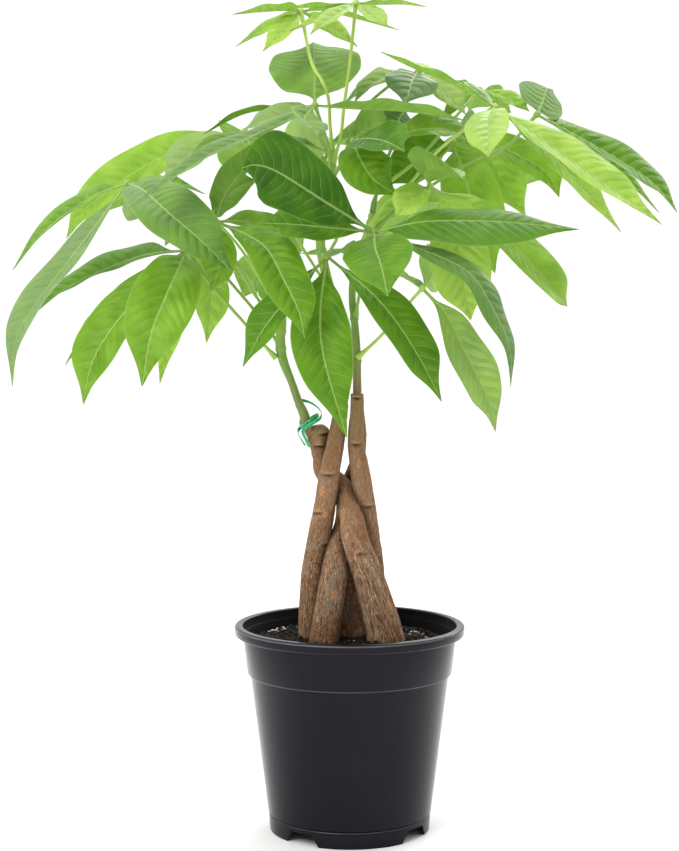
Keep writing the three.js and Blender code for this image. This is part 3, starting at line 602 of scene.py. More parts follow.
def ball(level):
    """Points and faces of a round pebble of radius 1."""
    mesh = bmesh.new()
    bmesh.ops.create_icosphere(mesh, subdivisions=level, radius=1.0)
    mesh.verts.ensure_lookup_table()
    points = np.array([vertex.co[:] for vertex in mesh.verts])
    faces = [tuple(vertex.index for vertex in face.verts) for face in mesh.faces]
    mesh.free()
    return points, faces


def placed(name, data):
    """A new object in the scene."""
    thing = bpy.data.objects.new(name, data)
    bpy.context.scene.collection.objects.link(thing)
    return thing


class MeshParts:
    """Collects pieces of one mesh, with values for each point."""

    def __init__(self):
        self.points, self.faces, self.face_material, self.values = [], [], [], {}
        self.count = 0

    def add(self, points, faces, material=0, **values):
        """Adds points and faces; a value is one number for all the points, or 1 to 3 for each."""
        points = np.asarray(points, float).reshape(-1, 3)
        self.points.append(points)
        self.faces += [tuple(int(i) + self.count for i in face) for face in faces]
        self.face_material += [material] * len(faces)
        for name, data in values.items():
            data = np.full(len(points), data) if np.ndim(data) == 0 else np.asarray(data, float)
            self.values.setdefault(name, []).append(data.reshape(len(points), -1))
        self.count += len(points)

    def build(self, name, materials):
        mesh = bpy.data.meshes.new(name)
        mesh.from_pydata((np.vstack(self.points) * MM).tolist(), [], self.faces)
        for material in materials:
            mesh.materials.append(material)
        mesh.polygons.foreach_set("material_index", self.face_material)
        mesh.polygons.foreach_set("use_smooth", [True] * len(mesh.polygons))
        corner = np.empty(len(mesh.loops), int)
        mesh.loops.foreach_get("vertex_index", corner)
        for value_name, data in self.values.items():
            data = np.vstack(data)
            if data.shape[1] == 2:
                layer = mesh.uv_layers.new(name=value_name)
                layer.data.foreach_set("uv", data[corner].ravel())
            elif data.shape[1] == 1:
                layer = mesh.attributes.new(value_name, "FLOAT", "POINT")
                layer.data.foreach_set("value", data.ravel())
            else:
                layer = mesh.attributes.new(value_name, "FLOAT_VECTOR", "POINT")
                layer.data.foreach_set("vector", data.ravel())
        mesh.validate()
        piece = placed(name, mesh)
        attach(piece, BODY)
        return piece


# Material nodes
class Graph:
    """Short calls that add nodes to one tree. Colours are (red, green, blue)."""

    def __init__(self, tree):
        self.tree = tree

    def node(self, kind, inputs=None, **settings):
        node = self.tree.nodes.new(kind)
        for name, value in settings.items():
            setattr(node, name, value)
        self.fill(node, inputs or {})
        return node

    def fill(self, node, inputs):
        """Links each named input to a socket, or sets it to a plain value."""
        for name, value in inputs.items():
            socket = node.inputs[name]
            if isinstance(value, bpy.types.NodeSocket):
                self.tree.links.new(value, socket)
            else:
                socket.default_value = (*value, 1.0) if socket.type == "RGBA" else value

    def math(self, operation, *values, clamp=False):
        settings = {"operation": operation, "use_clamp": clamp}
        return self.node("ShaderNodeMath", dict(enumerate(values)), **settings).outputs[0]

    def mix(self, share, first, second, blend="MIX"):
        """The inputs and the output that a colour mix uses are known by their numbers."""
        inputs = {0: share, 6: first, 7: second}
        return self.node("ShaderNodeMix", inputs, data_type="RGBA", blend_type=blend).outputs[2]

    def noise(self, at, scale, detail=3.0, rough=0.5):
        inputs = {"Vector": at, "Scale": scale, "Detail": detail, "Roughness": rough}
        return self.node("ShaderNodeTexNoise", inputs).outputs["Fac"]

    def map(self, value, low, high, to_low=0.0, to_high=1.0):
        """to_low where value is low, to_high where it is high, and between them in between."""
        inputs = {"Value": value, "From Min": low, "From Max": high}
        inputs.update({"To Min": to_low, "To Max": to_high})
        return self.node("ShaderNodeMapRange", inputs).outputs[0]

    def ramp(self, value, stops):
        node = self.node("ShaderNodeValToRGB", {"Fac": value})
        elements = node.color_ramp.elements
        while len(elements) < len(stops):
            elements.new(0.5)
        for element, (position, color) in zip(elements, stops):
            element.position = position
            element.color = (*color, 1.0)
        return node.outputs[0]

    def value_of(self, name, output="Fac"):
        return self.node("ShaderNodeAttribute", attribute_name=name).outputs[output]

    def uv(self, name):
        return self.node("ShaderNodeUVMap", uv_map=name).outputs[0]

    def place(self):
        """The place on the object, in metres."""
        return self.node("ShaderNodeTexCoord").outputs["Object"]

    def split(self, vector):
        return self.node("ShaderNodeSeparateXYZ", {"Vector": vector}).outputs

    def stretched(self, at, scale):
        inputs = {0: at, 1: scale}
        return self.node("ShaderNodeVectorMath", inputs, operation="MULTIPLY").outputs[0]

    def bump(self, height, distance_mm, strength=1.0):
        inputs = {"Height": height, "Distance": distance_mm * MM, "Strength": strength}
        return self.node("ShaderNodeBump", inputs).outputs[0]


def new_material(name, color):
    """A material with only its Principled shader and output, and the graph to add to."""
    material = bpy.data.materials.new(name)
    material.use_nodes = True
    material.diffuse_color = (*color, 1.0)
    graph = Graph(material.node_tree)
    shader = material.node_tree.nodes["Principled BSDF"]
    graph.fill(shader, {"Base Color": color})
    return material, graph, shader


# Leaf finish: greens from the oldest leaves to the youngest
TOP_GREENS = [
    (0.0, (0.018, 0.110, 0.002)),
    (0.25, (0.068, 0.222, 0.003)),
    (0.5, (0.150, 0.328, 0.012)),
    (0.75, (0.280, 0.490, 0.042)),
    (1.0, (0.470, 0.670, 0.115)),
]
UNDER_GREENS = [
    (0.0, (0.105, 0.240, 0.045)),
    (0.25, (0.185, 0.370, 0.058)),
    (0.5, (0.300, 0.520, 0.082)),
    (0.75, (0.430, 0.660, 0.130)),
    (1.0, (0.600, 0.780, 0.240)),
]
RIB_GREEN = (0.48, 0.64, 0.22)
# Colour of the painted grey sheen on some leaflets
SHEEN_GREY_GREEN = (0.33, 0.42, 0.27)
# Light that shines through a blade
THROUGH_TINT = (0.85, 1.0, 0.25)
THROUGH_GREEN = (0.75, 1.0, 0.25)


def vein_group():
    """The pattern of one blade: midrib, side veins, margin and the height of its surface."""
    group = bpy.data.node_groups.new("blade_pattern", "ShaderNodeTree")
    starts = {"Vein Spacing": VEIN_SPACING, "Vein Slope": VEIN_SLOPE}
    starts.update({"Vein Width": VEIN_WIDTH, "Cell Size": VEIN_CELL})
    for name, start in starts.items():
        socket = group.interface.new_socket(name, in_out="INPUT", socket_type="NodeSocketFloat")
        socket.default_value = start
    for name in ("Midrib", "Veins", "Cells", "Margin", "Height"):
        group.interface.new_socket(name, in_out="OUTPUT", socket_type="NodeSocketFloat")
    graph = Graph(group)
    given = graph.node("NodeGroupInput").outputs
    blade_uv = graph.uv("blade")
    blade = graph.split(blade_uv)
    along = graph.math("MULTIPLY", blade[0], MM_PER_UV)
    across = graph.math("MULTIPLY", blade[1], MM_PER_UV)
    aside = graph.math("ABSOLUTE", across)
    share = graph.split(graph.uv("share"))
    out = graph.math("ABSOLUTE", graph.math("MULTIPLY_ADD", share[1], 2.0, -1.0))

    rib_half = graph.map(share[0], 0.0, 1.0, RIB_BASE_HALF_W, RIB_TIP_HALF_W)
    midrib = graph.math("SUBTRACT", 1.35, graph.math("DIVIDE", aside, rib_half), clamp=True)

    # Side veins leave the midrib by turns, slant towards the tip and curl up at the margin
    wander = graph.math("MULTIPLY", graph.noise(blade_uv, 4.0, 2.0), VEIN_WANDER)
    back = graph.math("MULTIPLY", aside, given["Vein Slope"])
    curl = graph.math("MULTIPLY", graph.math("MULTIPLY", aside, aside), VEIN_CURL)
    run = graph.math("SUBTRACT", along, graph.math("ADD", back, curl))
    run = graph.math("ADD", run, wander)
    side = graph.math("MULTIPLY", graph.math("GREATER_THAN", across, 0.0), 0.5)
    phase = graph.math("ADD", graph.math("DIVIDE", run, given["Vein Spacing"]), side)
    off = graph.math("PINGPONG", phase, 0.5)
    off_mm = graph.math("MULTIPLY", off, given["Vein Spacing"])
    off_veins = graph.math("DIVIDE", off_mm, given["Vein Width"])
    vein = graph.math("SUBTRACT", 1.15, off_veins, clamp=True)
    fade = graph.map(out, 0.45, 0.95, 1.0, 0.0)

    # Between them lies a net of fine veins, which are the edges of small cells
    cell_scale = graph.math("DIVIDE", MM_PER_UV, given["Cell Size"])
    inputs = {"Vector": blade_uv, "Scale": cell_scale}
    cells = graph.node("ShaderNodeTexVoronoi", inputs, feature="DISTANCE_TO_EDGE")
    cells = graph.map(cells.outputs["Distance"], 0.0, 0.12, 1.0, 0.0)

    cushion = graph.math("POWER", graph.math("MULTIPLY", off, 2.0), 0.75)
    cushion = graph.math("MULTIPLY", cushion, fade)
    height = graph.math("MULTIPLY_ADD", midrib, -0.12, cushion)
    patterns = {
        "Midrib": midrib,
        "Veins": graph.math("MULTIPLY", vein, fade),
        "Cells": cells,
        "Margin": graph.map(out, 0.95, 1.0),
        "Height": graph.math("MULTIPLY_ADD", cells, -0.05, height),
    }
    graph.fill(graph.node("NodeGroupOutput"), patterns)
    return group


def leaf_material(name, greens, pattern, vein_share, bump_mm, roughness, through):
    """One face of the leaves; through is how much light the face lets into the blade."""
    material, graph, shader = new_material(name, greens[1][1])
    blade_uv = graph.uv("blade")
    pattern = graph.node("ShaderNodeGroup", node_tree=pattern).outputs
    cloud = graph.map(graph.noise(blade_uv, 5.0, 3.0), 0.3, 0.7, -0.13, 0.13)
    # Greens by tone, which is partly the leaflet's age and partly painted light and shade
    color = graph.ramp(graph.math("ADD", graph.value_of("tone"), cloud), greens)
    # A painted grey sheen in patches, on the leaflets listed for it
    patches = graph.map(graph.noise(blade_uv, 3.0, 3.0), 0.3, 0.6, 0.45, 1.0)
    color = graph.mix(graph.math("MULTIPLY", graph.value_of("wax"), patches), color, SHEEN_GREY_GREEN)
    paler = graph.mix(0.62, color, RIB_GREEN)
    for part, share in (("Veins", vein_share), ("Cells", 0.10), ("Margin", 0.7)):
        color = graph.mix(graph.math("MULTIPLY", pattern[part], share), color, paler)
    color = graph.mix(graph.math("MULTIPLY", pattern["Midrib"], 0.95), color, RIB_GREEN)
    speckle = graph.noise(blade_uv, 60.0, 2.0)
    rough = graph.map(speckle, 0.3, 0.7, roughness - 0.05, roughness + 0.07)
    normal = graph.bump(pattern["Height"], bump_mm)
    inputs = {"Base Color": color, "Roughness": rough, "Specular IOR Level": 0.24}
    graph.fill(shader, {**inputs, "Normal": normal})
    glow = graph.mix(0.75, color, THROUGH_TINT, "MULTIPLY")
    glow = graph.mix(0.35, glow, THROUGH_GREEN)
    lit_through = graph.node("ShaderNodeBsdfTranslucent", {"Color": glow, "Normal": normal})
    inputs = {"Fac": through, 1: shader.outputs[0], 2: lit_through.outputs[0]}
    both = graph.node("ShaderNodeMixShader", inputs)
    graph.fill(material.node_tree.nodes["Material Output"], {"Surface": both.outputs[0]})
    return material


# Green stem finish: the ramp goes from where bark begins to the youngest stalks
STEM_GREENS = [
    (0.0, (0.24, 0.145, 0.06)),
    (0.16, (0.17, 0.19, 0.05)),
    (0.6, (0.15, 0.29, 0.035)),
    (1.0, (0.42, 0.60, 0.10)),
]
STEM_STREAK = (0.30, 0.40, 0.12)
STEM_DOT = (0.42, 0.45, 0.22)


def green_stem_material():
    """Young stems and leaf stalks: green, browner where bark begins, with pale dots."""
    material, graph, shader = new_material("green_stem", (0.18, 0.32, 0.05))
    at = graph.value_of("stem_at", "Vector")
    inputs = {"Vector": graph.stretched(at, (1.0, 1.0, 0.45)), "Scale": 0.7}
    dots = graph.node("ShaderNodeTexVoronoi", inputs).outputs["Distance"]
    streak = graph.noise(graph.stretched(at, (0.9, 0.9, 0.08)), 1.0, 3.0)
    color = graph.ramp(graph.value_of("youth"), STEM_GREENS)
    color = graph.mix(graph.map(streak, 0.35, 0.75, 0.0, 0.22), color, STEM_STREAK)
    color = graph.mix(graph.map(dots, 0.05, 0.22, 0.3, 0.0), color, STEM_DOT)
    normal = graph.bump(streak, 0.25)
    graph.fill(shader, {"Base Color": color, "Roughness": 0.48, "Normal": normal})
    return material


# Bark finish: the ramp goes from the bottom of the fissures to the ridges between them; the dark bottoms
# are partly painted shade and the pale ridges partly painted highlight
BARK_BROWNS = [
    (0.37, (0.020, 0.009, 0.005)),
    (0.43, (0.115, 0.056, 0.028)),
    (0.50, (0.300, 0.165, 0.086)),
    (0.56, (0.520, 0.330, 0.190)),
    (0.64, (0.920, 0.730, 0.530)),
]
BARK_RUST = (0.250, 0.098, 0.040)
BARK_GREY = (0.330, 0.270, 0.205)
BARK_GREEN = (0.27, 0.23, 0.075)
FLAKE_ORANGE = (0.40, 0.145, 0.055)
FLAKE_TAN = (0.66, 0.37, 0.19)
LIFTED_TAN = (0.55, 0.34, 0.17)
SCAR_BROWN = (0.025, 0.014, 0.01)
# Colour of the painted shade in the crevices between stems and just above the soil
PAINTED_SHADE_BROWN = (0.03, 0.02, 0.015)


def bark_material():
    """Brown bark with fine fissures along the stem, flaked patches, dark scars, and painted shade between
    the stems and just above the soil.
    """
    material, graph, shader = new_material("bark", (0.22, 0.135, 0.08))
    at = graph.value_of("bark_at", "Vector")
    fissures = graph.noise(graph.stretched(at, (1.0, 1.0, 0.27)), 1.0, 5.0, 0.72)
    fine = graph.noise(graph.stretched(at, (2.6, 2.6, 0.85)), 1.0, 3.0, 0.65)
    cloud = graph.noise(graph.stretched(at, (0.09, 0.09, 0.05)), 1.0, 3.0)
    ragged = graph.noise(graph.stretched(at, (0.5, 0.5, 0.4)), 1.0, 4.0, 0.7)
    grain = graph.math("MULTIPLY_ADD", fine, 0.45, graph.math("MULTIPLY", fissures, 0.55))
    smooth = graph.math("MULTIPLY", graph.value_of("smooth"), 0.55)
    levelled = graph.math("MULTIPLY", smooth, graph.math("SUBTRACT", 0.5, grain))
    grain = graph.math("ADD", grain, levelled)
    # Darkest in the fissures and palest on the ridges: partly the bark's own colour, partly painted shade
    # and highlight
    color = graph.ramp(grain, BARK_BROWNS)
    color = graph.mix(graph.map(cloud, 0.48, 0.68, 0.0, 0.6), color, BARK_RUST)
    color = graph.mix(graph.map(cloud, 0.46, 0.3, 0.0, 0.35), color, BARK_GREY)
    green = graph.math("MULTIPLY", graph.value_of("green"), graph.map(fine, 0.3, 0.6, 0.5, 1.0))
    color = graph.mix(green, color, BARK_GREEN)
    edge = graph.map(ragged, 0.3, 0.7, -0.75, 0.75)
    flake = graph.map(graph.math("ADD", graph.value_of("flake"), edge), 0.45, 0.7, 0.0, 0.8)
    flaked = graph.mix(graph.map(fine, 0.4, 0.6), FLAKE_ORANGE, FLAKE_TAN)
    color = graph.mix(flake, color, flaked)
    color = graph.mix(graph.math("MULTIPLY", graph.value_of("lifted"), 0.6), color, LIFTED_TAN)
    color = graph.mix(graph.value_of("scar"), color, SCAR_BROWN)
    # Painted shade: darker in the crevices between the stems and just above the soil
    color = graph.mix(graph.value_of("shade"), color, PAINTED_SHADE_BROWN, "MULTIPLY")
    inputs = {"Base Color": color, "Roughness": 0.82, "Specular IOR Level": 0.25}
    graph.fill(shader, {**inputs, "Normal": graph.bump(grain, 2.8)})
    return material


# Pot finish
POT_BLACK = (0.0056, 0.0042, 0.0092)
POT_DUST = (0.015, 0.013, 0.018)
POT_SCUFF = (0.018, 0.017, 0.020)
# Colour of the painted highlight lines along the edges
POT_EDGE_HIGHLIGHT = (0.15, 0.148, 0.16)
# A darker black for the inner wall: painted shade
INSIDE_SHADED_BLACK = (0.004, 0.0036, 0.0046)
INSIDE_STAIN = (0.014, 0.011, 0.009)


def pot_material():
    """Moulded charcoal plastic with a faint grain, scuffs, a little dust and painted highlight lines along
    its edges.
    """
    material, graph, shader = new_material("pot_plastic", (0.007, 0.0065, 0.0085))
    at = graph.place()
    grain = graph.noise(at, 900.0, 2.0)
    scuffs = graph.noise(graph.stretched(at, (55.0, 55.0, 7.0)), 1.0, 4.0, 0.65)
    dust = graph.noise(at, 28.0, 4.0, 0.6)
    color = graph.mix(graph.map(dust, 0.5, 0.85, 0.0, 0.2), POT_BLACK, POT_DUST)
    color = graph.mix(graph.map(scuffs, 0.64, 0.78, 0.0, 0.2), color, POT_SCUFF)
    height = graph.math("DIVIDE", graph.split(at)[2], MM)
    uneven = graph.map(dust, 0.3, 0.6, 0.5, 1.0)
    # Painted highlights: thin pale lines along edges of the pot
    for edge_z, half, share in EDGE_HIGHLIGHTS:
        off = graph.math("ABSOLUTE", graph.math("SUBTRACT", height, edge_z))
        edge_highlight = graph.math("MULTIPLY", graph.map(off, 0.0, half, share, 0.0), uneven)
        color = graph.mix(edge_highlight, color, POT_EDGE_HIGHLIGHT)
    rough = graph.map(scuffs, 0.3, 0.75, 0.15, 0.23)
    inputs = {"Base Color": color, "Roughness": rough, "Specular IOR Level": 0.16}
    graph.fill(shader, {**inputs, "Normal": graph.bump(grain, 0.03, 0.5)})
    return material


def pot_inside_material():
    """The matt inner wall, a darker black than the outside as painted shade, stained by the soil."""
    material, graph, shader = new_material("pot_inside", (0.005, 0.0045, 0.0055))
    stain = graph.noise(graph.stretched(graph.place(), (60.0, 60.0, 18.0)), 1.0, 4.0, 0.6)
    color = graph.mix(graph.map(stain, 0.45, 0.75, 0.0, 0.5), INSIDE_SHADED_BLACK, INSIDE_STAIN)
    rough = graph.map(stain, 0.3, 0.75, 0.5, 0.75)
    inputs = {"Base Color": color, "Roughness": rough, "Specular IOR Level": 0.06}
    graph.fill(shader, inputs)
    return material


# Soil and perlite finish
PEAT_BROWNS = [
    (0.3, (0.002, 0.0015, 0.0012)), (0.5, (0.007, 0.0052, 0.004)), (0.7, (0.034, 0.021, 0.012))
]
PERLITE_WHITES = [(0.35, (0.42, 0.38, 0.32)), (0.6, (0.80, 0.78, 0.73))]


def soil_material():
    """Dark peat with brown crumbs."""
    material, graph, shader = new_material("soil", (0.035, 0.025, 0.018))
    at = graph.place()
    crumbs = graph.noise(at, 420.0, 4.0, 0.65)
    cloud = graph.noise(at, 70.0, 2.0)
    mottled = graph.math("MULTIPLY_ADD", cloud, 0.35, graph.math("MULTIPLY", crumbs, 0.65))
    color = graph.ramp(mottled, PEAT_BROWNS)
    inputs = {"Base Color": color, "Roughness": 0.95, "Specular IOR Level": 0.2}
    graph.fill(shader, {**inputs, "Normal": graph.bump(crumbs, 1.0)})
    return material


def perlite_material():
    """White grains with dirty pits."""
    material, graph, shader = new_material("perlite", (0.75, 0.73, 0.68))
    pits = graph.noise(graph.place(), 900.0, 3.0, 0.6)
    color = graph.ramp(pits, PERLITE_WHITES)
    normal = graph.bump(pits, 0.4)
    graph.fill(shader, {"Base Color": color, "Roughness": 0.9, "Normal": normal})
    return material


# Twist tie finish
COAT_GREEN = (0.02, 0.42, 0.15)
WIRE_GREEN = (0.004, 0.16, 0.05)
COAT_GLINT = (0.30, 0.80, 0.48)


def tie_material():
    """Green plastic coat with the wire showing through as a darker line."""
    material, graph, shader = new_material("tie_plastic", (0.05, 0.42, 0.17))
    share_uv = graph.uv("share")
    round_half = graph.math("PINGPONG", graph.split(share_uv)[1], 0.5)
    middle = graph.math("ABSOLUTE", graph.math("SUBTRACT", round_half, 0.25))
    ripple = graph.noise(graph.stretched(share_uv, (60.0, 4.0, 1.0)), 1.0, 2.0)
    color = graph.mix(graph.map(middle, 0.0, 0.12, 0.75, 0.0), COAT_GREEN, WIRE_GREEN)
    color = graph.mix(graph.map(ripple, 0.5, 0.75, 0.0, 0.5), color, COAT_GLINT)
    normal = graph.bump(ripple, 0.2)
    graph.fill(shader, {"Base Color": color, "Roughness": 0.22, "Normal": normal})
    return material


# Camera, light and floor
def add_camera():
    data = bpy.data.cameras.new("camera")
    data.sensor_width = SENSOR_MM
    data.lens = FOCAL_LENGTH_PX / IMAGE_HEIGHT_PX * SENSOR_MM
    data.clip_end = SIGHT_END_M
    camera = placed("camera", data)
    camera.location = EYE * MM
    camera.rotation_euler = (math.pi / 2 - TILT_DOWN, 0, 0)
    bpy.context.scene.camera = camera


def add_soft_box(name, place_m, side_m, power, color):
    data = bpy.data.lights.new(name, "AREA")
    data.shape = "SQUARE"
    data.size = side_m
    data.energy = power
    data.color = color
    light = placed(name, data)
    light.location = place_m
    aim = Vector(LIGHTS_AIM_M) - Vector(place_m)
    light.rotation_euler = aim.to_track_quat("-Z", "Y").to_euler()


def add_world():
    """White light from all round, dim from the front and bright from behind and from above. The
    camera sees a plain white backdrop on every side."""
    world = bpy.data.worlds.new("studio")
    world.use_nodes = True
    graph = Graph(world.node_tree)
    way = graph.split(graph.node("ShaderNodeTexCoord").outputs["Generated"])
    level = graph.map(way[1], *TO_BACK, FRONT_LIGHT, BACK_LIGHT)
    above = graph.map(way[2], *TO_ABOVE, 0.0, OVERHEAD_LIGHT)
    light = graph.math("ADD", level, above)
    backdrop = graph.node("ShaderNodeLightPath").outputs["Is Camera Ray"]
    strength = graph.map(backdrop, 0.0, 1.0, light, BACK_LIGHT)
    background = world.node_tree.nodes["Background"]
    graph.fill(background, {"Color": (1.0, 1.0, 1.0), "Strength": strength})
    bpy.context.scene.world = world


def add_floor():
    mesh = bpy.data.meshes.new("floor")
    half = FLOOR_HALF_M
    corners = [(-half, -half, 0), (half, -half, 0), (half, half, 0), (-half, half, 0)]
    mesh.from_pydata(corners, [], [(0, 1, 2, 3)])
    material, graph, shader = new_material("floor", (0.93, 0.93, 0.93))
    graph.fill(shader, {"Roughness": 0.7})
    mesh.materials.append(material)
    placed("floor", mesh)


def add_studio():
    bpy.context.scene.view_settings.view_transform = "Standard"
    add_world()
    for soft_box in SOFT_BOXES:
        add_soft_box(*soft_box)
    add_floor()


# Pot
def arc(centre_r, centre_z, radius, start_deg, end_deg, count):
    angles = np.radians(np.linspace(start_deg, end_deg, count))
    return [(centre_r + radius * math.cos(a), centre_z + radius * math.sin(a)) for a in angles]


def pot_profile():
    """The pot's (radius, height) points, and how many of the last ones face inwards."""
    lip_z = POT_H - LIP_H
    seat_z = POT_H - SEAT_DEPTH
    ring_r = FOOT_R - WALL - 1.4
    under_floor = [(CENTRE_R, FLOOR_Z), (ring_r + 0.2, FLOOR_Z), (ring_r, FLOOR_Z - 0.3)]
    foot = [(ring_r, 0.3), (ring_r + 0.3, 0.0), (FOOT_R - 0.9, 0.0), (FOOT_R - 0.6, 0.3)]
    foot += [(FOOT_R, FOOT_H - 1.0), (FOOT_R - 0.2, FOOT_H - 0.5), (FOOT_R - 0.6, FOOT_H - 0.1)]
    foot += [(FOOT_R - 0.3, FOOT_H + 0.4), (FOOT_R + 0.4, FOOT_H + 1.0), (FOOT_R + 0.55, FOOT_H + 2.0)]
    collar = [(BODY_TOP_R - 0.1, COLLAR_BOTTOM_Z - 1.4), (BODY_TOP_R + 0.3, COLLAR_BOTTOM_Z - 0.5)]
    collar += [(COLLAR_BOTTOM_R - 0.5, COLLAR_BOTTOM_Z - 0.2), (COLLAR_BOTTOM_R, COLLAR_BOTTOM_Z + 0.5)]
    collar += [(COLLAR_R + 0.4, lip_z - 0.6), (COLLAR_R + 1.1, lip_z - 0.1)]
    lip = [(RIM_R - 1.9, lip_z + 0.1), (RIM_R - 0.9, lip_z + 0.5), (RIM_R - 0.2, lip_z + 1.4)]
    lip += arc(RIM_R - RIM_ROUND, POT_H - RIM_ROUND, RIM_ROUND, 0, 90, 7)
    lip += arc(COLLAR_R + 1.6, POT_H - SEAT_ROUND, SEAT_ROUND, 90, 175, 5)
    inside = [(COLLAR_R - 0.1, seat_z + 0.5), (COLLAR_R - 0.5, seat_z + 0.1)]
    inside += [(COLLAR_R - 1.6, seat_z - 0.1), (COLLAR_R - 1.9, seat_z - 0.6)]
    inside += [(COLLAR_BOTTOM_R - WALL, COLLAR_BOTTOM_Z + 1.4), (BODY_TOP_R - WALL, COLLAR_BOTTOM_Z - 1.0)]
    inside += [(FOOT_R + 0.3 - WALL, FLOOR_Z + WALL + 0.4), (FOOT_R - 0.2 - WALL, FLOOR_Z + WALL)]
    inside += [(CENTRE_R, FLOOR_Z + WALL)]
    # The last points of the lip's arc face inwards too
    lip_facing_in = 2
    return np.array(under_floor + foot + collar + lip + inside), len(inside) + lip_facing_in


def prism(parts, outline, axis_from, axis_to):
    """A closed prism from an outline of places in one plane, moved by axis_from and axis_to."""
    near = np.asarray(outline) + axis_from
    far = np.asarray(outline) + axis_to
    count = len(outline)
    faces = [tuple(range(count)), tuple(range(2 * count - 1, count - 1, -1))]
    faces += [(k, k + count, (k + 1) % count + count, (k + 1) % count) for k in range(count)]
    parts.add(np.vstack([near, far]), faces)


def add_notch(cuts, turn):
    """A wedge that leaves a notch in the foot ring, wider at the bottom."""
    out = np.array([math.sin(turn), -math.cos(turn), 0.0])
    across = np.array([math.cos(turn), math.sin(turn), 0.0])
    bottom, top = NOTCH_WIDTH / 2 + 1, NOTCH_TOP_WIDTH / 2
    corners = [(-bottom, -2.0), (bottom, -2.0), (top, NOTCH_H - NOTCH_ROUND)]
    corners += [(top - NOTCH_ROUND, NOTCH_H), (NOTCH_ROUND - top, NOTCH_H)]
    corners += [(-top, NOTCH_H - NOTCH_ROUND)]
    outline = [across * x + np.array([0.0, 0.0, z]) for x, z in corners]
    prism(cuts, outline, out * NOTCH_OUTSIDE_R, out * NOTCH_INSIDE_R)


def add_pot(material, inside_material):
    profile, facing_in = pot_profile()
    angles = np.linspace(0, math.tau, POT_SIDES, endpoint=False)
    radii, heights = profile[:, :1], profile[:, 1:]
    round_pot = [radii * np.cos(angles), radii * np.sin(angles), heights + 0 * angles]
    parts = MeshParts()
    faces = closed_tube(len(profile), POT_SIDES)
    parts.add(np.stack(round_pot, axis=-1), faces)
    row = np.arange(len(faces)) // POT_SIDES
    inner = (row >= len(profile) - facing_in) & (row < len(profile) - 1)
    parts.face_material = [int(k) for k in inner]
    materials = [material, inside_material]
    pot = parts.build("nursery_pot", materials)

    cuts = MeshParts()
    for k in range(NOTCHES):
        add_notch(cuts, NOTCH_ANGLE + math.tau * k / NOTCHES)
    for x, y in circle(DRAIN_CIRCLE_R, DRAIN_HOLES):
        outline = [(x + dx, y + dy, 0.0) for dx, dy in circle(DRAIN_HOLE_R, DRAIN_SIDES)]
        prism(cuts, outline, (0, 0, FLOOR_Z + 2 * WALL), (0, 0, FLOOR_Z - WALL))
    cutter = cuts.build("pot_cutter", materials)
    modifier = pot.modifiers.new("notches", "BOOLEAN")
    modifier.operation = "DIFFERENCE"
    modifier.solver = "EXACT"
    modifier.object = cutter
    bpy.context.view_layer.update()
    cut = bpy.data.meshes.new_from_object(pot.evaluated_get(bpy.context.evaluated_depsgraph_get()))
    pot.modifiers.clear()
    pot.data = cut
    bpy.data.objects.remove(cutter)
    cut.set_sharp_from_angle(angle=POT_SHARP)
    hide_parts("pot")


# Soil
def soil_height(x, y):
    far = math.hypot(x, y) / SOIL_TOP_R
    height = SOIL_Z + SOIL_MOUND * (1 - far * far)
    for coarse, bump, layer in SOIL_BUMPS:
        height += bump * noise.noise(Vector((x * coarse, y * coarse, layer)))
    return height - SOIL_EDGE_DROP * smooth_step(far, 0.9, 1.0)


def scatter(parts, rng, places, sizes, level, lift):
    """Grains of uneven shape, partly sunk in the soil, at each (x, y, spread, count) place."""
    base, faces = ball(level)
    for place_x, place_y, spread, count in places:
        for _ in range(count):
            radius, angle = spread * math.sqrt(rng.random()), rng.uniform(0, math.tau)
            x, y = place_x + radius * math.cos(angle), place_y + radius * math.sin(angle)
            if math.hypot(x, y) > GRAINS_WITHIN_R:
                continue
            size = rng.uniform(*sizes) * rng.uniform(0.6, 1.0)
            seed = Vector((rng.uniform(0, 90), 0, 0))
            stretch = [rng.uniform(0.7, 1.4), rng.uniform(0.7, 1.2), rng.uniform(0.6, 1.0)]
            uneven = [1 + GRAIN_UNEVEN * noise.noise(Vector(p * 1.7) + seed) for p in base]
            turn = rng.uniform(0, math.pi)
            cos, sin = math.cos(turn), math.sin(turn)
            spin = np.array([[cos, -sin, 0], [sin, cos, 0], [0, 0, 1]])
            points = (base * np.array(uneven)[:, None] * np.array(stretch) * size) @ spin.T
            parts.add(points + (x, y, soil_height(x, y) + size * lift), faces)


def add_soil(material, white):
    radii = SOIL_TOP_R * np.linspace(0.0, 1.0, SOIL_RINGS) ** 0.8
    radii[0] = SOIL_CENTRE_R
    points = []
    for radius in radii:
        points += [(x, y, soil_height(x, y)) for x, y in circle(radius, SOIL_SPOKES)]
    wall_rings = [(COLLAR_BOTTOM_R - WALL - 0.4, COLLAR_BOTTOM_Z + 2)]
    wall_rings += [(BODY_TOP_R - WALL - 0.4, COLLAR_BOTTOM_Z - 1)]
    wall_rings += [(FOOT_R - WALL - 0.2, FLOOR_Z + WALL + 0.4)]
    for radius, height in wall_rings:
        points += [(x, y, height) for x, y in circle(radius, SOIL_SPOKES)]
    rng = random.Random(11)
    parts = MeshParts()
    parts.add(points, closed_tube(SOIL_RINGS + len(wall_rings), SOIL_SPOKES))
    scatter(parts, rng, CRUMB_PLACES, CRUMB_SIZES, 1, CRUMB_LIFT)
    soil = parts.build("soil_bed", [material])
    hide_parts("soil")

    grains = MeshParts()
    scatter(grains, rng, PERLITE_PLACES, PERLITE_SIZES, 2, PERLITE_LIFT)
    grains.build("perlite", [white])


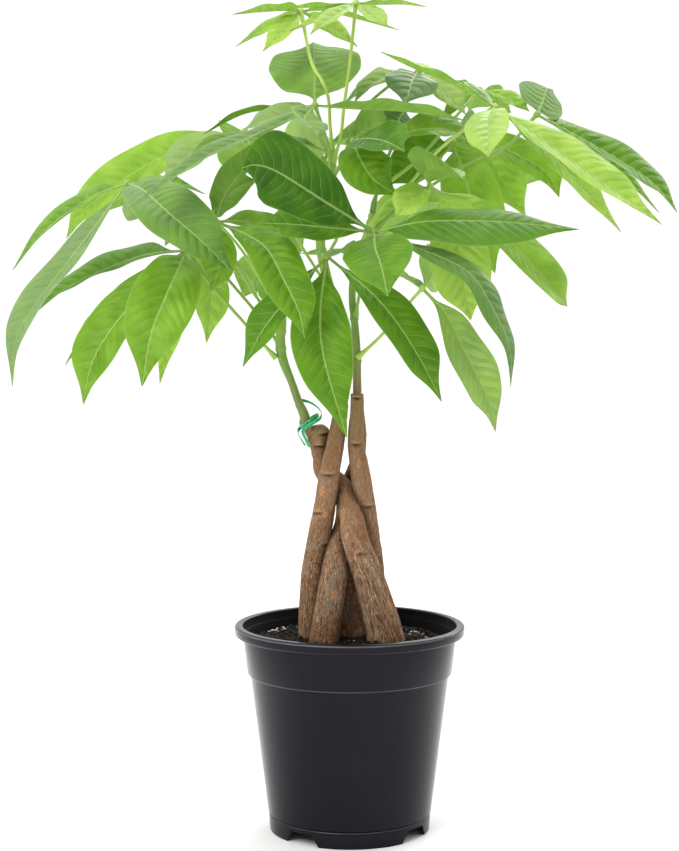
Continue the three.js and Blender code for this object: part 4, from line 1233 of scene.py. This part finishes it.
# Stems
class Stem:
    """Even rings along the stem through (across, up, depth, radius) points."""

    def __init__(self, points, sides, step):
        points = np.asarray(points, float)
        coarse = middle_line(points)
        length = np.linalg.norm(np.diff(coarse, axis=0), axis=1).sum()
        shares = np.linspace(0, 1, max(LEAST_RINGS, int(length / step) + 1))
        self.centres, tangents = spline(seen(points[:, :3]), shares)
        self.radii = np.interp(shares * (len(points) - 1), np.arange(len(points)), points[:, 3])
        self.lengths = shares * length
        self.angles = np.arange(sides) * math.tau / sides
        self.faces = closed_tube(len(shares), sides)
        normals, binormals = carried_frames(tangents, RING_START)
        self.out = np.cos(self.angles)[None, :, None] * normals[:, None, :]
        self.out = self.out + np.sin(self.angles)[None, :, None] * binormals[:, None, :]

    def reach(self, radii):
        """How far each point of the rings lies from the middle line, one radius for a ring."""
        return np.repeat(radii[:, None], len(self.angles), axis=1)

    def surface(self, reach):
        return self.centres[:, None, :] + self.out * reach[:, :, None]

    def grain_places(self, radius, seed):
        """Places for the noise of the finish, round an even cylinder of its own for each stem."""
        at = np.empty((len(self.lengths), len(self.angles), 3))
        at[..., 0] = np.cos(self.angles) * radius
        at[..., 1] = np.sin(self.angles) * radius
        at[..., 2] = self.lengths[:, None] + GRAIN_APART * seed
        return at

    def bumps(self, radius, seed, fine_round, fine_along, step, height):
        """Uneven heights over the stem; bigger fine values make smaller bumps."""
        values = np.empty((len(self.lengths), len(self.angles)))
        x = np.cos(self.angles) * radius * fine_round
        y = np.sin(self.angles) * radius * fine_round
        for i, z in enumerate(self.lengths * fine_along + step * seed):
            values[i] = [noise.noise(Vector((x[j], y[j], z))) for j in range(len(x))]
        return height * values


def crevices(surface, neighbours):
    """1 where another stem touches this one, 0 where they are well clear of each other."""
    clear = np.full(surface.shape[0] * surface.shape[1], np.inf)
    for stem in neighbours:
        away = np.linalg.norm(surface.reshape(-1, 1, 3) - stem.centres[None], axis=2)
        clear = np.minimum(clear, (away - stem.radii[None]).min(axis=1))
    return 1 - smooth_step(clear.reshape(surface.shape[:2]), CREVICE_TOUCH, CREVICE_CLEAR)


def add_trunk(name, points, neighbours, material, seed):
    stem = Stem(points, TRUNK_SIDES, TRUNK_STEP)
    reach = stem.reach(stem.radii)
    reach += reach * stem.bumps(TRUNK_GRAIN_R, seed, *TRUNK_WAVER)
    for bump in TRUNK_BUMPS:
        reach += stem.bumps(TRUNK_GRAIN_R, seed, *bump)
    across, up = looks_at(stem.surface(reach))
    facing = smooth_step(-stem.out[..., 1], -0.1, 0.35)
    for bulge_across, bulge_up, size, growth in SWELLINGS.get(name, []):
        reach += growth * bell(np.hypot(across - bulge_across, up - bulge_up), size)
    scar, lifted, flake = np.zeros_like(reach), np.zeros_like(reach), np.zeros_like(reach)
    for scar_across, scar_up, half, bend in SCARS.get(name, []):
        aside = (across - scar_across) / half
        off = up - scar_up - bend * aside**2
        ends = np.clip(1 - aside**2, 0, 1) * facing
        groove = bell(off, SCAR_GROOVE_HALF_W) * ends
        ridge = bell(off - SCAR_RIDGE_UP, SCAR_RIDGE_HALF_W) * ends
        scar = np.maximum(scar, groove)
        lifted = np.maximum(lifted, ridge)
        reach += SCAR_RIDGE_H * ridge - SCAR_GROOVE_DEPTH * groove
    for flake_across, flake_up, half_width, half_height in FLAKES.get(name, []):
        near = np.hypot((across - flake_across) / half_width, (up - flake_up) / half_height)
        flake = np.maximum(flake, smooth_step(-near, -1.2, -0.4) * facing)
    surface = stem.surface(reach)
    height = surface[..., 2]
    # Painted shade just above the soil and in the crevices between stems
    soil_shade = 0.5 * smooth_step(-height, -SOIL_Z - SOIL_SHADE_H, -SOIL_Z)
    values = {
        "bark_at": stem.grain_places(TRUNK_GRAIN_R, seed),
        "scar": scar,
        "flake": flake,
        "green": 0.75 * smooth_step(height, *GREENISH_FROM_TO),
        "shade": np.maximum(soil_shade, CREVICE_SHADE * crevices(surface, neighbours)),
        "lifted": lifted,
        "smooth": smooth_step(height, *SMOOTH_FROM_TO),
    }
    parts = MeshParts()
    parts.add(surface, stem.faces, **values)
    trunk = parts.build(name + "_bark", [material])
    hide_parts(name)


def leaf_feet(points):
    """How far up leaves grow from the shoot through points."""
    line = middle_line(points)
    feet = [stalk[0] for stalk, _ in LEAVES.values()]
    away = [np.linalg.norm(line - place, axis=1).min() for place in seen(feet)]
    return [foot[1] for foot, gap in zip(feet, away) if gap < LEAF_FOOT_NEAR]


def add_shoot(name, points, material, seed):
    """A green shoot with a raised ring under each leaf that grows from it, and a bud on top."""
    stem = Stem(points, SHOOT_SIDES, SHOOT_STEP)
    _, up = looks_at(stem.centres)
    radii = stem.radii
    for foot in leaf_feet(points):
        radii = radii + LEAF_RING_H * bell(up - foot + LEAF_RING_DOWN, LEAF_RING_HALF_W)
    reach = stem.reach(radii) + stem.bumps(SHOOT_GRAIN_R, seed, *SHOOT_BUMP)
    reach[-len(BUD_SHARES):] *= BUD_SHARES
    surface = stem.surface(reach)
    above = surface[..., 2] - surface[..., 2].min()
    youth = 0.22 * smooth_step(above, *SHOOT_BARK_FROM_TO)
    youth = youth + 0.6 * smooth_step(above, *SHOOT_YOUNG_FROM_TO)
    parts = MeshParts()
    parts.add(surface, stem.faces, stem_at=stem.grain_places(SHOOT_GRAIN_R, seed), youth=youth)
    shoot = parts.build(name + "_stem", [material])
    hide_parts(name)


# Leaves
def leaf_width(share):
    """The share of its full width that a leaflet has along its length."""
    pinch = smooth_step(share, 0.0, 0.25)
    drip_tip = 1 - 0.45 * smooth_step(share, 0.74, 0.95)
    return 4.25 * share**1.15 * np.clip(1 - share, 0, 1) ** 0.95 * pinch * drip_tip


def blade_frames(control, turn, share):
    """The midrib's places and lengths, and which way the blade faces and spreads from it."""
    centre, tangent = spline(control, share)
    steps = np.linalg.norm(np.diff(centre, axis=0), axis=1)
    along = np.concatenate([[0], np.cumsum(steps)])
    chord = unit(control[-1] - control[0])
    front = unit(EYE - control[0])
    front = unit(front - chord * (front @ chord))
    upward = np.cross(chord, front) * (-1 if chord[0] > 0 else 1)
    face = math.cos(turn) * front + math.sin(turn) * upward
    normal = unit(face - tangent * (tangent @ face)[:, None])
    return centre, along, normal, np.cross(tangent, normal)


def add_leaflet(parts, hub, leaflet, wax, rng):
    points, width, turn, tone, *own_fold = leaflet
    fold = math.radians(own_fold[0] if own_fold else BLADE_FOLD)
    share = np.linspace(0, 1, BLADE_ROWS + 1)
    centre, along, normal, side = blade_frames(seen([hub, *points]), math.radians(turn), share)
    least = np.where(share > 0.5, BLADE_TIP_W, BLADE_BASE_W)
    half = np.maximum(width * leaf_width(share), least)[:, None] / 2
    share, along = share[:, None], along[:, None]
    column = np.concatenate([-BLADE_COLUMNS[:0:-1], BLADE_COLUMNS])[None, :]
    out = np.abs(column)
    across = column * half
    middle = np.sin(math.pi * share)

    wave_count, start = rng.uniform(*WAVE_COUNTS), rng.uniform(0, math.tau)
    swing = np.where(column > 0, start, rng.uniform(0, math.tau))
    wave = np.sin(math.tau * wave_count * share + swing)
    wave = wave * out**2 * np.minimum(WAVE_MOST, half * WAVE_SHARE) * middle
    quilt = (along - VEIN_SLOPE * out * half) / VEIN_SPACING + np.where(column > 0, 0.5, 0.0)
    quilt = np.abs(((quilt % 1) - 0.5) * 2)
    quilt = (1 - quilt**2) * QUILT_H * np.sin(math.pi * out) * middle
    rise = half * math.tan(fold) * np.sqrt(out**2 + BLADE_CREASE)
    arch = half * BLADE_ARCH * np.sin(math.pi * out)
    lift = rise + arch + wave + quilt
    top = centre[:, None] + side[:, None] * across[..., None] + normal[:, None] * lift[..., None]
    rib = RIB_DEPTH * (1 - 0.75 * share) * bell(across, RIB_HALF_W)
    thin_ends = np.sin(math.pi * np.clip(share, 0.02, 0.995)) ** 0.3
    thick = BLADE_EDGE_GAP * (1 - out**4) * thin_ends + rib
    under = top - normal[:, None] * thick[..., None]

    rows, columns = across.shape
    values = {
        "blade": np.stack([along + 0 * across, across], axis=-1) / MM_PER_UV,
        "share": np.stack([share + 0 * column, (column + 1) / 2 + 0 * share], axis=-1),
        "tone": np.clip(tone + rng.uniform(-TONE_SPREAD, TONE_SPREAD), 0, 1),
        "wax": wax,
    }
    faces = grid_faces(rows, columns)
    parts.add(top, faces, 0, **values)
    parts.add(under, faces[:, ::-1], 1, **values)


def add_leaf(name, leaf, materials, stem_material, seed):
    stalk, leaflets = leaf
    rng = random.Random(100 + seed)
    blades = MeshParts()
    wax = PAINTED_SHEEN.get(name, {})
    for k, leaflet in enumerate(leaflets):
        add_leaflet(blades, stalk[-1], leaflet, wax.get(k, 0.0), rng)
    piece = blades.build(name + "_blades", materials)
    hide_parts(name)

    stem = Stem([(*point, STALK_R) for point in stalk], STALK_SIDES, STALK_STEP)
    to_end = stem.lengths[-1] - stem.lengths
    radii = stem.radii + (STALK_FOOT_R - STALK_R) * bell(stem.lengths, STALK_FOOT_REACH)
    radii = radii + (STALK_END_R - STALK_R) * bell(to_end, STALK_END_REACH)
    least_youth, by_tone = STALK_YOUTH
    youth = least_youth + by_tone * leaflets[0][3]
    parts = MeshParts()
    surface = stem.surface(stem.reach(radii))
    parts.add(surface, stem.faces, stem_at=stem.grain_places(STALK_R, seed), youth=youth)
    knob, faces = ball(3)
    parts.add(knob * KNOB_R + seen([stalk[-1]]), faces, stem_at=knob * KNOB_R, youth=youth)
    parts.build(name + "_stalk", [stem_material])


# Twist tie
def add_tie(material):
    share = np.linspace(0, 1, TIE_RINGS)
    centre, tangent = spline(seen(TIE), share)
    axis = middle_line(SHOOTS["shoot_2"])
    near = axis[np.argmin(np.linalg.norm(centre[:, None] - axis[None], axis=2), axis=1)]
    out = centre - near
    out = unit(out - tangent * np.sum(out * tangent, axis=1, keepdims=True))
    flat = np.cross(tangent, out)
    angles = np.linspace(0, math.tau, TIE_SIDES, endpoint=False)
    wide = np.cos(angles) * TIE_WIDTH / 2
    bulge = 0.45 + 0.55 * np.abs(np.sin(angles)) ** 3
    thick = np.sin(angles) * TIE_THICKNESS / 2 * bulge
    surface = centre[:, None] + flat[:, None] * wide[None, :, None] + out[:, None] * thick[None, :, None]
    around = np.arange(TIE_SIDES) / TIE_SIDES
    share_uv = np.stack([share[:, None] + 0 * around, around + 0 * share[:, None]], axis=-1)
    parts = MeshParts()
    parts.add(surface, closed_tube(TIE_RINGS, TIE_SIDES), share=share_uv)
    tie = parts.build("twist_tie", [material])
    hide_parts("tie")


def main():
    add_camera()
    add_studio()
    add_pot(pot_material(), pot_inside_material())
    add_soil(soil_material(), perlite_material())
    bark = bark_material()
    stems = {name: Stem(points, 3, 2.0) for name, points in TRUNKS.items()}
    for seed, (name, points) in enumerate(TRUNKS.items(), 1):
        add_trunk(name, points, [stems[other] for other in stems if other != name], bark, seed)
    green = green_stem_material()
    for seed, (name, points) in enumerate(SHOOTS.items(), 1):
        add_shoot(name, points, green, seed)
    pattern = vein_group()
    top = leaf_material(
        "leaf_top", TOP_GREENS, pattern, vein_share=0.62, bump_mm=1.0, roughness=0.33, through=0.28
    )
    under = leaf_material(
        "leaf_under", UNDER_GREENS, pattern, vein_share=0.75, bump_mm=-0.9, roughness=0.5, through=0.45
    )
    for seed, (name, leaf) in enumerate(LEAVES.items(), 1):
        add_leaf(name, leaf, [top, under], green, seed)
    add_tie(tie_material())


main()
